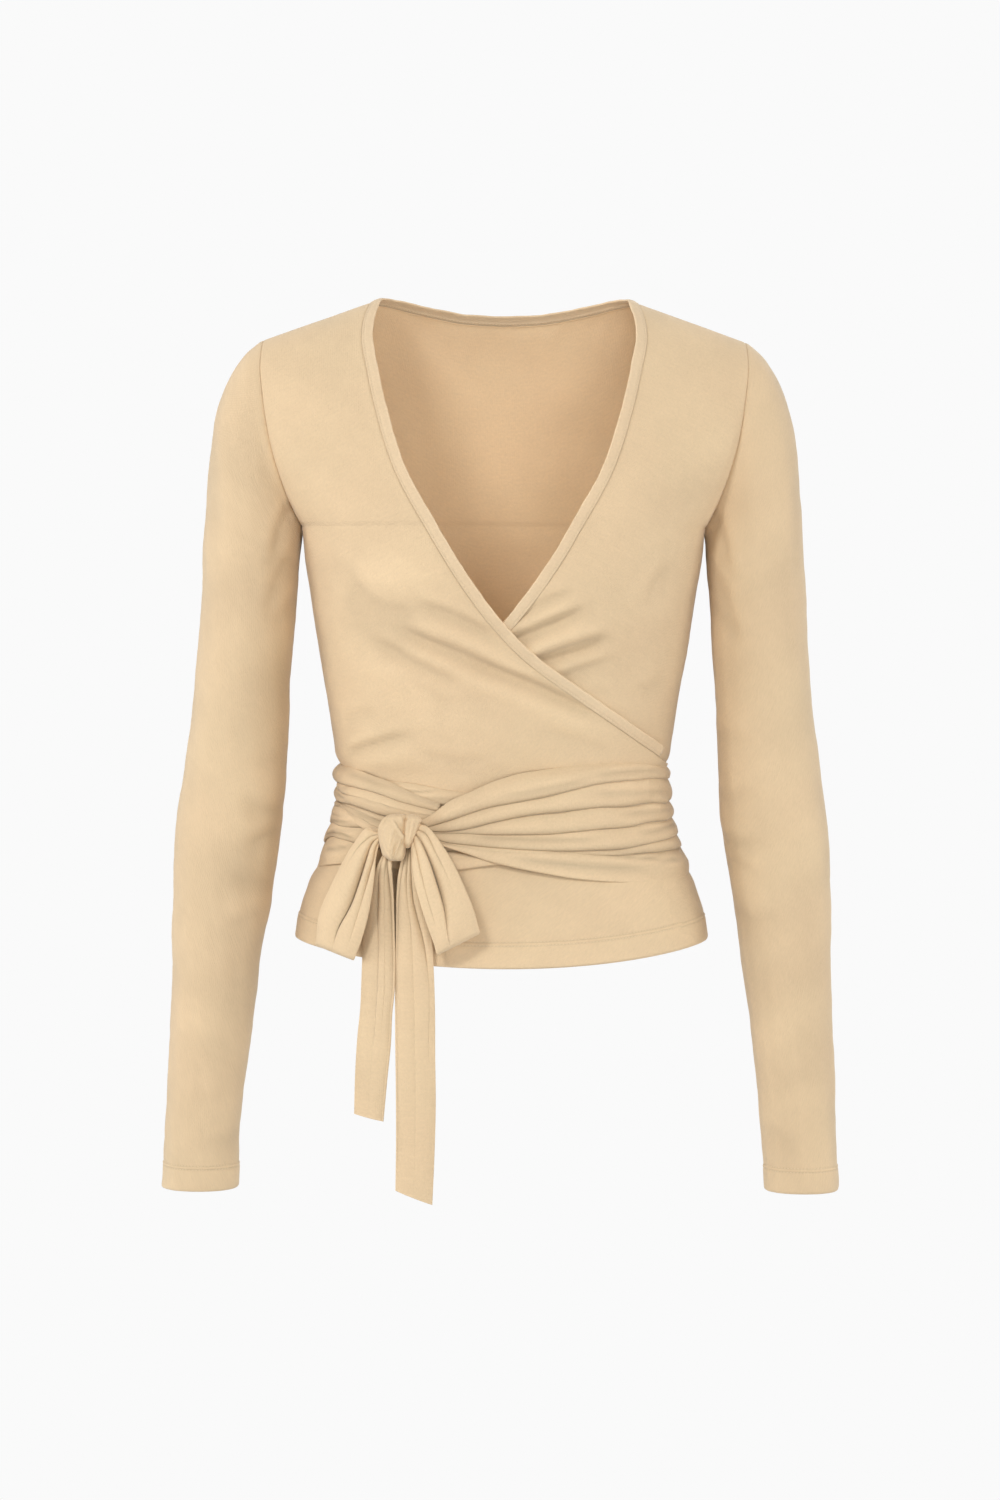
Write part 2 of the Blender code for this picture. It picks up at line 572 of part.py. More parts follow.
def make_wraps():
    """First turn of the ties round the waist, then the outer turn in three stretches."""
    angle = np.linspace(-math.pi, math.pi, WRAP_COLUMNS, endpoint=False)
    wall("wrap_inner", pleated(INNER_WRAP, angle, INNER_WRAP_OUT, INNER_PLEAT), JERSEY, around=True)
    angle = np.linspace(TIE_ENDS[0], math.pi / 2 - TIE_SEAM, FRONT_TIE_COLUMNS)
    rise = (TIE_OUT_AT_KNOT - TIE_OUT) * ease((TIE_RISE_START - angle) / TIE_RISE_RUN)
    wall("tie_front", pleated(TIE_FRONT, angle, TIE_OUT + rise, TIE_PLEAT), PLEATED)
    angle = np.linspace(math.pi / 2 + TIE_SEAM, 1.5 * math.pi - TIE_SEAM, BACK_TIE_COLUMNS)
    wall("tie_back", pleated(TIE_BACK, angle, TIE_OUT, TIE_PLEAT), PLEATED)
    angle = np.linspace(TIE_SEAM - math.pi / 2, TIE_ENDS[1], LEFT_TIE_COLUMNS)
    wall("tie_left", pleated(TIE_LEFT, angle, TIE_OUT, TIE_PLEAT), PLEATED)


def make_knot():
    """Two gathered lobes of the knot, grooved lengthwise."""
    for name, row in (("knot_over", 0), ("knot_under", 1)):
        angle, z, out, across, tall, deep = (KNOT[column][row] for column in KNOT)
        centre = waist(np.radians(angle), z, out)
        normal = waist(np.radians(angle), z, out + 1.0) - centre
        normal /= np.linalg.norm(normal)
        sideways = np.cross([0, 0, 1], normal)
        turn = np.linspace(0, 2 * math.pi, 20, endpoint=False)
        tip = np.linspace(0, math.pi, 10)[1:-1, None]
        groove = KNOT_GROOVE_DEEP * (1 + np.cos(KNOT_GROOVES * turn)) * np.sin(tip)
        girth = np.sin(tip) ** 0.8 * (1 - groove)
        points = (centre + (across * girth * np.cos(turn))[..., None] * sideways
                  + (deep * girth * np.sin(turn))[..., None] * normal
                  + (tall * np.cos(tip) + 0 * turn)[..., None] * np.array([0, 0, 1]))
        flat = points.reshape(-1, 3)
        ends = np.stack([centre + [0, 0, tall], centre - [0, 0, tall]])
        index = np.arange(len(flat)).reshape(points.shape[:2])
        index = np.hstack([index, index[:, :1]])
        faces = np.concatenate([bridge(index[k], index[k + 1]) for k in range(len(index) - 1)]).tolist()
        for pole, line in ((len(flat), index[0]), (len(flat) + 1, index[-1])):
            faces += [(pole, a, b) for a, b in zip(line[:-1], line[1:])]
        solid(name, np.concatenate([flat, ends]), [tuple(int(k) for k in face) for face in faces])


def drape(x, z, out):
    """Point in front of the body at x and z, a distance out from the waist form."""
    half = smooth(z, WAIST["z"], WAIST["half"]) + out
    depth = smooth(z, WAIST["z"], WAIST["front"]) + out
    return np.stack([x, -depth * flank(x / half, SECTION_ROUND), z], -1)


def make_loops():
    """Bow loops: a ribbon that leaves the knot, folds at its lower end and comes back behind itself."""
    share = np.linspace(0, 1, 6)
    for name, form in (("loop_left", LOOP_LEFT), ("loop_right", LOOP_RIGHT)):
        last = len(form["front"]) - 1
        fold = {column: form[column][-1] + 0.35 * (form[column][-1] - form[column][-2]) for column in form}
        fold["out"] = (form["front"][-1] + form["back"][-1]) / 2
        path = [({c: form[c][k] for c in form}, form["front"][k]) for k in range(last + 1)]
        path += [(fold, fold["out"])]
        path += [({c: form[c][k] for c in form}, form["back"][k]) for k in range(last, 0, -1)]
        rows = []
        for k, (at, out) in enumerate(path):
            x = at["outer_x"] + (at["inner_x"] - at["outer_x"]) * share
            z = at["outer_z"] + (at["inner_z"] - at["outer_z"]) * share
            swell = LOOP_SWELL * np.sin(math.pi * share) - LOOP_FOLD * np.exp(-((share - 0.45) / 0.12) ** 2)
            front = 1.0 if k <= last else 0.0
            rows.append(drape(x, z, out + front * swell * min(k, last - k + 1) / 3))
        grid = np.stack(rows)
        wall(name, grid if name.endswith("left") else grid[:, ::-1], PLEATED)


def make_tails():
    """Loose ends of the ties, pressed flat with a soft fold, each cut on a slight slant."""
    share = np.linspace(0, 1, 5)
    for name, form in (("tail_left", TAIL_LEFT), ("tail_right", TAIL_RIGHT)):
        length = (form["z"][0] - form["z"]) / (form["z"][0] - form["z"][-1])
        x = form["left"][:, None] + (form["right"] - form["left"])[:, None] * share
        z = form["z"][:, None] - TAIL_SLANT * (share - 0.5) * length[:, None]
        fold = TAIL_FOLD * np.exp(-((share - 0.55) / 0.2) ** 2) * (1 - 0.6 * length)[:, None]
        wall(name, drape(x, z, form["out"][:, None] - fold), TAIL)


def clear_scene():
    """Remove whatever the scene holds."""
    for item in list(bpy.data.objects):
        bpy.data.objects.remove(item, do_unlink=True)


def main():
    clear_scene()
    make_fronts()
    make_front_bands()
    make_back()
    make_sleeves()
    make_wraps()
    make_knot()
    make_loops()
    make_tails()


main()
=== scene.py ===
"""Long-sleeved wrap top in brushed camel jersey, its ties wound twice round the waist and knotted in a bow.

Lengths are millimetres unless a name says otherwise, and are scaled to metres when a mesh is made. +X is the
wearer's left, -Y the front and +Z up. The origin lies between the middles of the two shoulder seams.

Every panel is a surface of two parameters. Rows run down and columns run anticlockwise seen from above, so
that down x across points out of the body.
"""

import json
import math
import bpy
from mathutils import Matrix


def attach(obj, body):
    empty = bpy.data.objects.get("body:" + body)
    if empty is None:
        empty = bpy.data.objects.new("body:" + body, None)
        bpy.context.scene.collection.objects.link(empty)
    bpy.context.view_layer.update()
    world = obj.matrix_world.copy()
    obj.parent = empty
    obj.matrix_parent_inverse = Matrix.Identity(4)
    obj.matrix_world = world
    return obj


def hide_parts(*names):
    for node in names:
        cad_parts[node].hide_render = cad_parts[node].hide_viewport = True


bl_info = {
    "name": "Wrap top",
    "version": (1, 0, 0),
    "blender": (4, 5, 0),
    "location": "View3D > Sidebar > Wrap top",
    "description": "Jersey wrap top with pleated ties, a bow and topstitched bands and hems",
    "category": "Add Mesh",
}

import bpy
import numpy as np

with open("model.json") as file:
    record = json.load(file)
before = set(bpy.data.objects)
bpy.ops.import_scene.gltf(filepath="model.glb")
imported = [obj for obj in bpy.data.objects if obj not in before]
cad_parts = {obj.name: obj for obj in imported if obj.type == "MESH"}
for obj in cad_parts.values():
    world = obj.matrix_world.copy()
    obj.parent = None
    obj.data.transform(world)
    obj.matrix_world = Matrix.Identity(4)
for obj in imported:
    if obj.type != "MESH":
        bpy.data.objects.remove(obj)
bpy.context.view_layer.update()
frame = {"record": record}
MM = 0.001
TAU = 2 * math.pi


# ---- Tables and sums
def table(columns, rows):
    """Short table with named columns, a row for each section or fold. Its first column says where."""
    return {name: np.array(column, float) for name, column in zip(columns.split(), zip(*rows))}


def fold_table(rows):
    """Table of folds: each runs through three points, across and up, and is so deep and so wide."""
    return table("a0 z0 a1 z1 a2 z2 deep wide", rows)


def smooth(at, given, values):
    """Cubic through a table's rows, with each row's slope taken from its neighbours."""
    if given[0] > given[-1]:
        given, values = given[::-1], values[::-1]
    at = np.clip(at, given[0], given[-1])
    slope = np.gradient(values, given)
    row = np.clip(np.searchsorted(given, at) - 1, 0, len(given) - 2)
    step = given[row + 1] - given[row]
    u = (at - given[row]) / step
    ends = (1 + 2 * u) * (1 - u) ** 2 * values[row] + u * u * (3 - 2 * u) * values[row + 1]
    return ends + u * (1 - u) * step * ((1 - u) * slope[row] - u * slope[row + 1])


def look(rows, name, at):
    """A table's column at any places along its first column."""
    return smooth(at, rows[next(iter(rows))], rows[name])


def ease(share):
    """Smooth step from 0 to 1."""
    share = np.clip(share, 0, 1)
    return share * share * (3 - 2 * share)


def bell(distance, wide):
    """Bell curve: 1 at no distance, about a third at its width."""
    return np.exp(-(distance / wide) ** 2)


def linear(code):
    """Linear red, green and blue of an sRGB hex colour."""
    parts = [int(code[k:k + 2], 16) / 255 for k in (0, 2, 4)]
    return tuple(c / 12.92 if c <= 0.04045 else ((c + 0.055) / 1.055) ** 2.4 for c in parts)


def unit(vectors):
    """Vectors made one long."""
    return vectors / np.linalg.norm(vectors, axis=-1, keepdims=True)


def run_along(line):
    """Length along a line of points from its first one."""
    return np.append(0, np.cumsum(np.linalg.norm(np.diff(line, axis=0), axis=1)))


def run_of(grid, axis):
    """Length along a grid's rows (axis 1) or columns (axis 0), from its first point."""
    steps = np.linalg.norm(np.diff(grid, axis=axis), axis=2)
    start = np.zeros_like(np.take(steps, [0], axis))
    return np.concatenate([start, np.cumsum(steps, axis)], axis)


def ripple(across, down, high, long, seed):
    """Slight unevenness of soft cloth: six sine waves of like length that run in scattered directions."""
    draw = np.random.default_rng(seed)
    total = np.zeros(np.broadcast(across, down).shape)
    for turn, phase, size in draw.uniform(0, 1, (6, 3)):
        wave = TAU / (long * (0.6 + 0.9 * size))
        total += np.sin(wave * (math.cos(TAU * turn) * across + math.sin(TAU * turn) * down) + TAU * phase)
    return high * total / 2.4


def uneven(across, down, seed, *waves):
    """Ripples of several sizes, each given as how high and how long it is."""
    return sum(ripple(across, down, high, long, seed + k) for k, (high, long) in enumerate(waves))


# A fold: the straight steps it is measured in, the share of its length over which it fades, how its width is
# scaled above and below it, and the height, distance and width of the swell beside it.
FOLD_STEPS, FOLD_FADE, FOLD_ABOVE, FOLD_BELOW = 12, 0.3, 0.72, 1.3
SWELL, SWELL_AWAY, SWELL_WIDE = 0.32, 2.1, 1.2


def folds(across, down, rows):
    """Relief of listed folds. Each runs on a parabola through three points. Across it the cloth dips by
    deep x exp(-|d / wide| ^ 1.5), more steeply on its upper side, and swells beside the dip by a third as
    much, and both fade at its ends."""
    total = np.zeros(np.broadcast(across, down).shape)
    u = np.linspace(0, 1, FOLD_STEPS + 1)
    for a0, z0, a1, z1, a2, z2, deep, wide in zip(*rows.values()):
        if a0 > a2:
            a0, z0, a2, z2 = a2, z2, a0, z0
        path = [p0 * (1 - u) * (1 - 2 * u) + p1 * 4 * u * (1 - u) + p2 * u * (2 * u - 1)
                for p0, p1, p2 in ((a0, a1, a2), (z0, z1, z2))]
        near, along, above = np.full(total.shape, np.inf), np.zeros(total.shape), np.zeros(total.shape)
        for k in range(FOLD_STEPS):
            step = path[0][k + 1] - path[0][k], path[1][k + 1] - path[1][k]
            off = across - path[0][k], down - path[1][k]
            part = np.clip((off[0] * step[0] + off[1] * step[1]) / (step[0] ** 2 + step[1] ** 2), 0, 1)
            gap = np.hypot(off[0] - part * step[0], off[1] - part * step[1])
            along = np.where(gap < near, (k + part) / FOLD_STEPS, along)
            above = np.where(gap < near, step[0] * off[1] - step[1] * off[0], above)
            near = np.minimum(near, gap)
        fade = ease(along / FOLD_FADE) * ease((1 - along) / FOLD_FADE)
        reach = wide * np.where(above > 0, FOLD_ABOVE, FOLD_BELOW)
        swell = SWELL * bell(near - SWELL_AWAY * reach, SWELL_WIDE * reach)
        total += deep * fade * (swell - np.exp(-(near / reach) ** 1.5))
    return total


def unrolled(rows, mm):
    """Table of folds on a tube, its angles in degrees made lengths at so many mm for each."""
    return {name: column * (mm if name[0] == "a" else 1) for name, column in rows.items()}


# ---- Body: sizes of the garment's own surface, as the cut gives it
NECK_HALF, NECK_Z = 90.0, 13.0
TIP_HALF, TIP_Z = 177.5, -18.3
SHOULDER_Y, SHOULDER_SEAM = 8.0, 2e-5
UNDERARM_Z = -154.0
ARMHOLE_DEPTH, ARMHOLE_ROUND = 42.0, 2.2
SECTION_ROUND, SHOULDER_SECTION, SHOULDER_ROUND, SOFT_END = 2.3, 1.15, 1.7, 0.06
# Power that keeps the armhole's own line to the side columns, and the height over which the slope below the
# underarm fades out above it.
SIDE_HOLD, SLOPE_TALL = 18, 22
FULL_TOP, FULL_LOW = -84.0, -196.0
BUST_OUT, BUST_X, BUST_Z, BUST_WIDE, BUST_TALL = 14.0, 70.0, -197.0, 42.0, 36.0
HEM_SIDE, HEM_FRONT, HEM_BACK = -457.0, -470.8, -464.0
SIDE_SEAM = math.radians(0.02)
OVER_STOP = math.radians(84)
BACK_NECK_HALF = 98.5
BACK_NECK = table("x z", [
    (0, -4.5), (16, -4), (31, -2.9), (49, 0.2), (64, 3.2), (85, 8), (98.5, 10),
])
ARMHOLE = table("z half", [
    (-18.3, 177.5), (-38, 178.2), (-57, 176.3), (-84, 172), (-117, 163), (-140, 154.5), (-154, 147.7),
])
SOFT_HALF = table("z half", [
    (-18.3, 177.5), (-38, 178.2), (-57, 176.3), (-84, 171.4), (-117, 161.8), (-136, 156.2), (-154, 151.8),
    (-178, 147.2), (-200, 142.6), (-222, 139),
])
BODY = table("z half front back", [
    (-154, 147.7, 90, 96), (-166, 146.75, 91.5, 96.4), (-178, 145.8, 94, 97), (-200, 142.3, 95, 95),
    (-222, 139, 94, 92), (-245, 135.3, 91, 89), (-278, 129.5, 86, 85), (-303, 125.7, 82.5, 82.5),
    (-314, 124, 79.5, 80.5), (-323, 122.6, 77, 78.5), (-328, 120, 75.5, 77), (-334, 116, 74, 75.5),
    (-342, 114, 73.5, 75), (-360, 114.5, 74.5, 76), (-372, 117, 76.5, 78), (-386, 123, 80, 81),
    (-404, 133.5, 86, 87), (-412, 138.3, 88.5, 89.5), (-423, 142, 91.7, 92.7), (-434, 145.6, 94.5, 95.5),
    (-445, 148.3, 96.8, 97.3), (-456, 150.4, 99, 99), (-472, 153.6, 102, 102),
])
WAIST = table("z half front back", [
    (-320, 114, 74, 75.5), (-345, 113.5, 73.5, 75), (-360, 114.5, 74.5, 76), (-372, 117, 76.5, 78),
    (-386, 121.5, 80, 81), (-404, 130.8, 86, 87), (-414, 136.5, 89, 90.2), (-436, 145.5, 95, 96),
    (-456, 152, 99, 99), (-472, 155.5, 102, 102),
])
SWAY = table("z x", [(-380, 0), (-398, -0.6), (-412, -1.7), (-434, -2.3), (-456, -1.6), (-472, -1.4)])
NECK_SEAM = table("z x", [
    (9.9, -98.5), (-4, -102.8), (-16, -103.8), (-41, -99.4), (-74, -91.6), (-114, -78.3), (-158, -54.2),
    (-178, -42.3), (-205.6, -23.7), (-223, -10.1), (-247.7, 13.5), (-277.5, 52.5), (-303, 88.5),
    (-325, 117.7), (-332, 126), (-345, 140), (-475, 170),
])

# Distance out from the body surface to the middle of a front, across most of it and at its far side, where
# that starts and the height over which it grows. The right front stands out a little more below the chest.
OVER_LIFT, UNDER_LIFT = (1.3, 1.9), (-1.4, -1.1)
LIFT_TOP, LIFT_RUN, LIFT_SHARE = UNDERARM_Z + 54, 86, 0.4
CROSS_OUT, CROSS_TOP, CROSS_RUN = 0.5, UNDERARM_Z + 27, 59
SHOULDER_ROWS, LOWER_ROWS, FRONT_COLUMNS = 70, 108, 118
BACK_SHOULDER_ROWS, BACK_SIDE_COLUMNS, BACK_COLUMNS = 62, 34, 140
# Distances from the side seams, the neck seam, the shoulders and the armhole over which the ripples start.
CALM_SIDE, CALM_NECK, CALM_SHOULDER, CALM_ARMHOLE = 14, 10, 12, 16
# Ripples of each panel: how high and how long, large and small.
FRONT_RIPPLES = (0.35, 62), (0.12, 17)
BACK_RIPPLES = (0.4, 66), (0.12, 18)
ARM_RIPPLES = (0.5, 70), (0.14, 19)
SEAM_DITCH, ARMHOLE_DITCH, SEAM_DITCH_WIDE = 0.45, 0.3, 1.1

# Folds pulled from the crossing towards the bust and waist. The left front follows those of the right one
# where that covers it.
OVER_FOLDS = fold_table([
    (-84, -226, -38, -242, 6, -260, 3.6, 5.6), (-30, -250, 24, -268, 80, -297, 3.9, 4.6),
    (-66, -208, -32, -219.5, 8, -240, 2.3, 4.8), (-102, -234, -64, -251, -26, -270, 2.6, 6),
    (-72, -262, -50, -275, -34, -286, 1.1, 6), (-132, -324, -99, -313, -58, -302, 2.4, 4.4),
    (-128, -300, -112, -292, -92, -287, 0.9, 6), (20, -300, 52, -307, 84, -318, 0.6, 6),
    (-60, -318, -34, -322, -4, -320, 0.7, 4.5), (-142, -176, -118, -190, -100, -212, 0.8, 8),
    (-128, -196, -92, -214, -46, -217, 2.5, 17),
])
UNDER_FOLDS = fold_table([
    (-6, -242, 26, -227, 66, -210, 4, 4.8), (8, -257, 42, -244, 84, -232, 4.2, 5),
    (-4, -232, 26, -210, 54, -200, 1.7, 4.6), (30, -268, 52, -258, 88, -248, 2, 5),
    (136, -178, 120, -194, 106, -216, 0.8, 8), (130, -262, 116, -270, 98, -274, 0.7, 6.5),
])
# How much of the depth of those folds the fronts and their bands take.
OVER_FOLD, UNDER_FOLD, BAND_OVER_FOLD, BAND_UNDER_FOLD = 1.15, 1.25, 0.6, 0.3
BACK_FOLDS = fold_table([
    (-118, -322, -76, -306, -22, -309, 2, 5), (104, -318, 66, -300, 18, -298, 1.7, 5.4),
    (-66, -326, -8, -318, 52, -324, 1.5, 4.4), (-140, -300, -108, -288, -64, -287, 1.2, 6.5),
    (128, -296, 100, -279, 58, -276, 1.1, 6.5), (-40, -282, 6, -274, 46, -280, 1, 7.5),
    (-150, -170, -118, -196, -96, -236, 1.3, 8.5), (150, -172, 120, -192, 102, -226, 1.2, 8.5),
    (-146, -130, -112, -146, -84, -150, 0.9, 9), (138, -120, 112, -138, 78, -146, 0.8, 9),
    (-30, -452, -22, -432, -26, -412, 0.7, 9), (64, -458, 58, -436, 66, -414, 0.8, 9),
])


def shoulder_z(x):
    """Height of the sloping shoulder seam, rounded over where the neck is cut out."""
    x = np.abs(x)
    x = np.where(x < NECK_HALF, (x * x / NECK_HALF + NECK_HALF) / 2, x)
    return NECK_Z - (x - NECK_HALF) * (NECK_Z - TIP_Z) / (TIP_HALF - NECK_HALF)


def to_angle(share):
    """Angle round the section for a share of its half width."""
    return np.arcsin(np.sign(share) * np.abs(share) ** (SECTION_ROUND / 2))


def to_share(angle):
    """Share of the section's half width at an angle, which spaces columns evenly round it."""
    return np.sign(angle) * np.abs(np.sin(angle)) ** (2 / SECTION_ROUND)


NECK_TURN = float(to_angle(BACK_NECK_HALF / TIP_HALF))


def flank(share, power):
    """How far a section stands out: 1 in the middle, 0 at its sides."""
    return (1 - np.minimum(np.abs(share), 1) ** SECTION_ROUND) ** (1 / power)


def armhole_z(down):
    """Height at a share of the way from shoulder to underarm."""
    return TIP_Z + (UNDERARM_Z - TIP_Z) * down


def armhole_half(down):
    """Half width between the armholes, at a share of the way from shoulder to underarm."""
    return look(ARMHOLE, "half", armhole_z(down))


def armhole_oval(down):
    """Share of the armhole's depth, at a share of the way from shoulder to underarm."""
    return (1 - np.abs(2 * down - 1) ** ARMHOLE_ROUND) ** (1 / ARMHOLE_ROUND)


def armhole_y(down, side):
    """Front (side -1) or back (side 1) of the oval armhole."""
    return SHOULDER_Y * (1 - down) + side * ARMHOLE_DEPTH * armhole_oval(down)


def half_width(share, level, z):
    """Half width of the body for a column. Its side columns follow the armhole and the side seam, and the
    others a softer line past the underarm, so that the underarm's corner leaves no crease on the chest."""
    down = np.clip(level, 0, 1)
    real = np.where(level > 1, look(BODY, "half", z), armhole_half(down))
    beside = np.where(level > 1, z, armhole_z(down))
    soft = np.where(beside > SOFT_HALF["z"][-1], look(SOFT_HALF, "half", beside), real)
    return soft + (real - soft) * np.abs(share) ** SIDE_HOLD


def chest_depth(face, z, down):
    """Depth of the body's middle above the underarm: the depth there x (1 - (1 - down)^1.7)^(1/1.7), with a
    soft end. It starts with the slope that the body has below, which fades out upwards."""
    rest = ((1 - down) ** 2 + SOFT_END ** 2) ** (SHOULDER_ROUND / 2) - SOFT_END ** SHOULDER_ROUND
    rest /= (1 + SOFT_END ** 2) ** (SHOULDER_ROUND / 2) - SOFT_END ** SHOULDER_ROUND
    above = np.maximum(z - UNDERARM_Z, 0)
    slope = (BODY[face][1] - BODY[face][0]) / (BODY["z"][0] - BODY["z"][1])
    profile = np.maximum(1 - rest, 0) ** (1 / SHOULDER_ROUND)
    return BODY[face][0] * profile - slope * above * bell(above, SLOPE_TALL)


def bust(share, x, z):
    """Rise of the bust: two round bells, which fade towards the side seams."""
    pair = np.exp(-((x - BUST_X) / BUST_WIDE) ** 2 / 2) + np.exp(-((x + BUST_X) / BUST_WIDE) ** 2 / 2)
    return BUST_OUT * pair * np.exp(-((z - BUST_Z) / BUST_TALL) ** 2 / 2) * (1 - share ** 6)


def body(share, level, side):
    """Body surface: share -1 to 1 across, level 0 at the shoulder, 1 at the underarm and 2 at the hem. Each
    section is |x / half|^2.3 + |y / depth|^2.3 = 1, and above the underarm it closes to the shoulder seam.
    Its sides hold the oval of the armhole, and next to them it stays as full, so that no crease runs on."""
    share, level = np.broadcast_arrays(share, level)
    face = "front" if side < 0 else "back"
    down = np.clip(level, 0, 1)
    top = shoulder_z(TIP_HALF * share)
    hem = HEM_SIDE + ((HEM_FRONT if side < 0 else HEM_BACK) - HEM_SIDE) * (1 - share * share)
    z = np.where(level > 1, UNDERARM_Z + (hem - UNDERARM_Z) * (level - 1), top + (UNDERARM_Z - top) * down)
    x = share * half_width(share, level, z)
    hold = np.abs(share) ** SIDE_HOLD
    full = side * ARMHOLE_DEPTH * ease((z - FULL_LOW) / (FULL_TOP - FULL_LOW)) * (1 - hold)
    seam = SHOULDER_Y * (1 - down) ** 2
    edge = seam * (1 - hold) + full * armhole_oval(np.minimum(down, 0.5)) + armhole_y(down, side) * hold
    middle = seam + side * chest_depth(face, z, down)
    power = SHOULDER_SECTION + (SECTION_ROUND - SHOULDER_SECTION) * ease(down)
    upper = x, edge + (middle - edge) * flank(share, power), z
    sway = np.where(z < SWAY["z"][0], look(SWAY, "x", z), 0)
    flat = flank(share, SECTION_ROUND)
    lower = sway + x, side * look(BODY, face, z) * flat + full * (1 - flat), z
    points = np.where((level > 1)[..., None], np.stack(lower, -1), np.stack(upper, -1))
    if side < 0:
        points[..., 1] -= bust(share, points[..., 0], points[..., 2])
    return points


def body_outward(share, level, side):
    """Unit normals of the body surface itself, from small steps about each point."""
    share, level = np.broadcast_arrays(share, level)
    angle = to_angle(share)
    turn, drop = math.radians(0.5), 0.004
    first = np.clip(level - drop, SHOULDER_SEAM, 2)
    across = body(to_share(angle + turn), level, side) - body(to_share(angle - turn), level, side)
    down = body(share, np.clip(level + drop, 0, 2), side) - body(share, first, side)
    return unit(np.cross(down, -side * across))


def neck_edge(level):
    """Share across at which the front neck seam crosses each level, found by closing in on it."""
    share = np.full(level.shape, -0.5)
    for _ in range(60):
        z = body(share, level, -1)[..., 2]
        target = look(NECK_SEAM, "x", z) / half_width(share, level, z)
        share = np.clip(0.5 * share + 0.5 * target, -1, to_share(OVER_STOP))
    return share


def lift(share, z, over):
    """How far a front lies off the body: nothing at its own side seam and shoulder, most at its far side."""
    middle, end = OVER_LIFT if over else UNDER_LIFT
    across = middle * ease((share + 1) / LIFT_SHARE) + (end - middle) * ease((share - 0.5) / LIFT_SHARE)
    return across * ease((LIFT_TOP - z) / LIFT_RUN)


def crossing(z):
    """How much more the right front stands out where the left one lies under it."""
    return CROSS_OUT * ease((CROSS_TOP - z) / CROSS_RUN)


def mirrored(grid):
    """The same grid on the other side of the body, its columns turned round to keep its outside out."""
    return grid[:, ::-1] * (np.array([-1, 1, 1]) if grid.ndim == 3 else 1)


def outward(grid, around=False):
    """Unit normals of a grid of points, from its slopes down and across."""
    wide = np.concatenate([grid[:, -1:], grid, grid[:, :1]], 1) if around else grid
    across = np.gradient(wide, axis=1)
    if around:
        across = across[:, 1:-1]
    return unit(np.cross(np.gradient(grid, axis=0), across))


def quarter(level):
    """Length round a level from the side seam to the centre front."""
    angle = np.linspace(-math.pi / 2, 0, 41)
    return run_of(body(to_share(angle), level[:, None], -1), 1)[:, -1]


# ---- Meshes and stitches
# Rows next to a free edge, by their distance from it, which round it off.
EDGE_STEPS = np.array([0, 0.08, 0.22, 0.42, 0.7])
STITCH_LONG = 1.75


def linked(name, data):
    """New object of some data, in the scene."""
    item = bpy.data.objects.new(name, data)
    bpy.context.scene.collection.objects.link(item)
    return item


def mesh_object(name, points, faces, material, uv=None):
    """Mesh object at the origin from points in mm and four-cornered faces."""
    mesh = bpy.data.meshes.new(name)
    mesh.vertices.add(len(points))
    mesh.vertices.foreach_set("co", (points * MM).astype(np.float32).ravel())
    mesh.loops.add(faces.size)
    mesh.loops.foreach_set("vertex_index", faces.astype(np.int32).ravel())
    mesh.polygons.add(len(faces))
    mesh.polygons.foreach_set("loop_start", np.arange(0, faces.size, faces.shape[1], dtype=np.int32))
    mesh.update(calc_edges=True)
    mesh.validate()
    if uv is not None:
        mesh.uv_layers.new(name="UVMap").data.foreach_set("uv", uv.astype(np.float32).ravel())
    mesh.shade_smooth()
    mesh.materials.append(material)
    return linked(name, mesh)


def dress(item, nodes, slot=None):
    """Let a piece ride on the body and stand for its solids, which are hidden."""
    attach(item, "root")
    if slot is None:
        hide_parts(*nodes)
        slot = next(p["material_slot"] for p in frame["record"]["subparts"] if p["node"] == nodes[0])
    return item


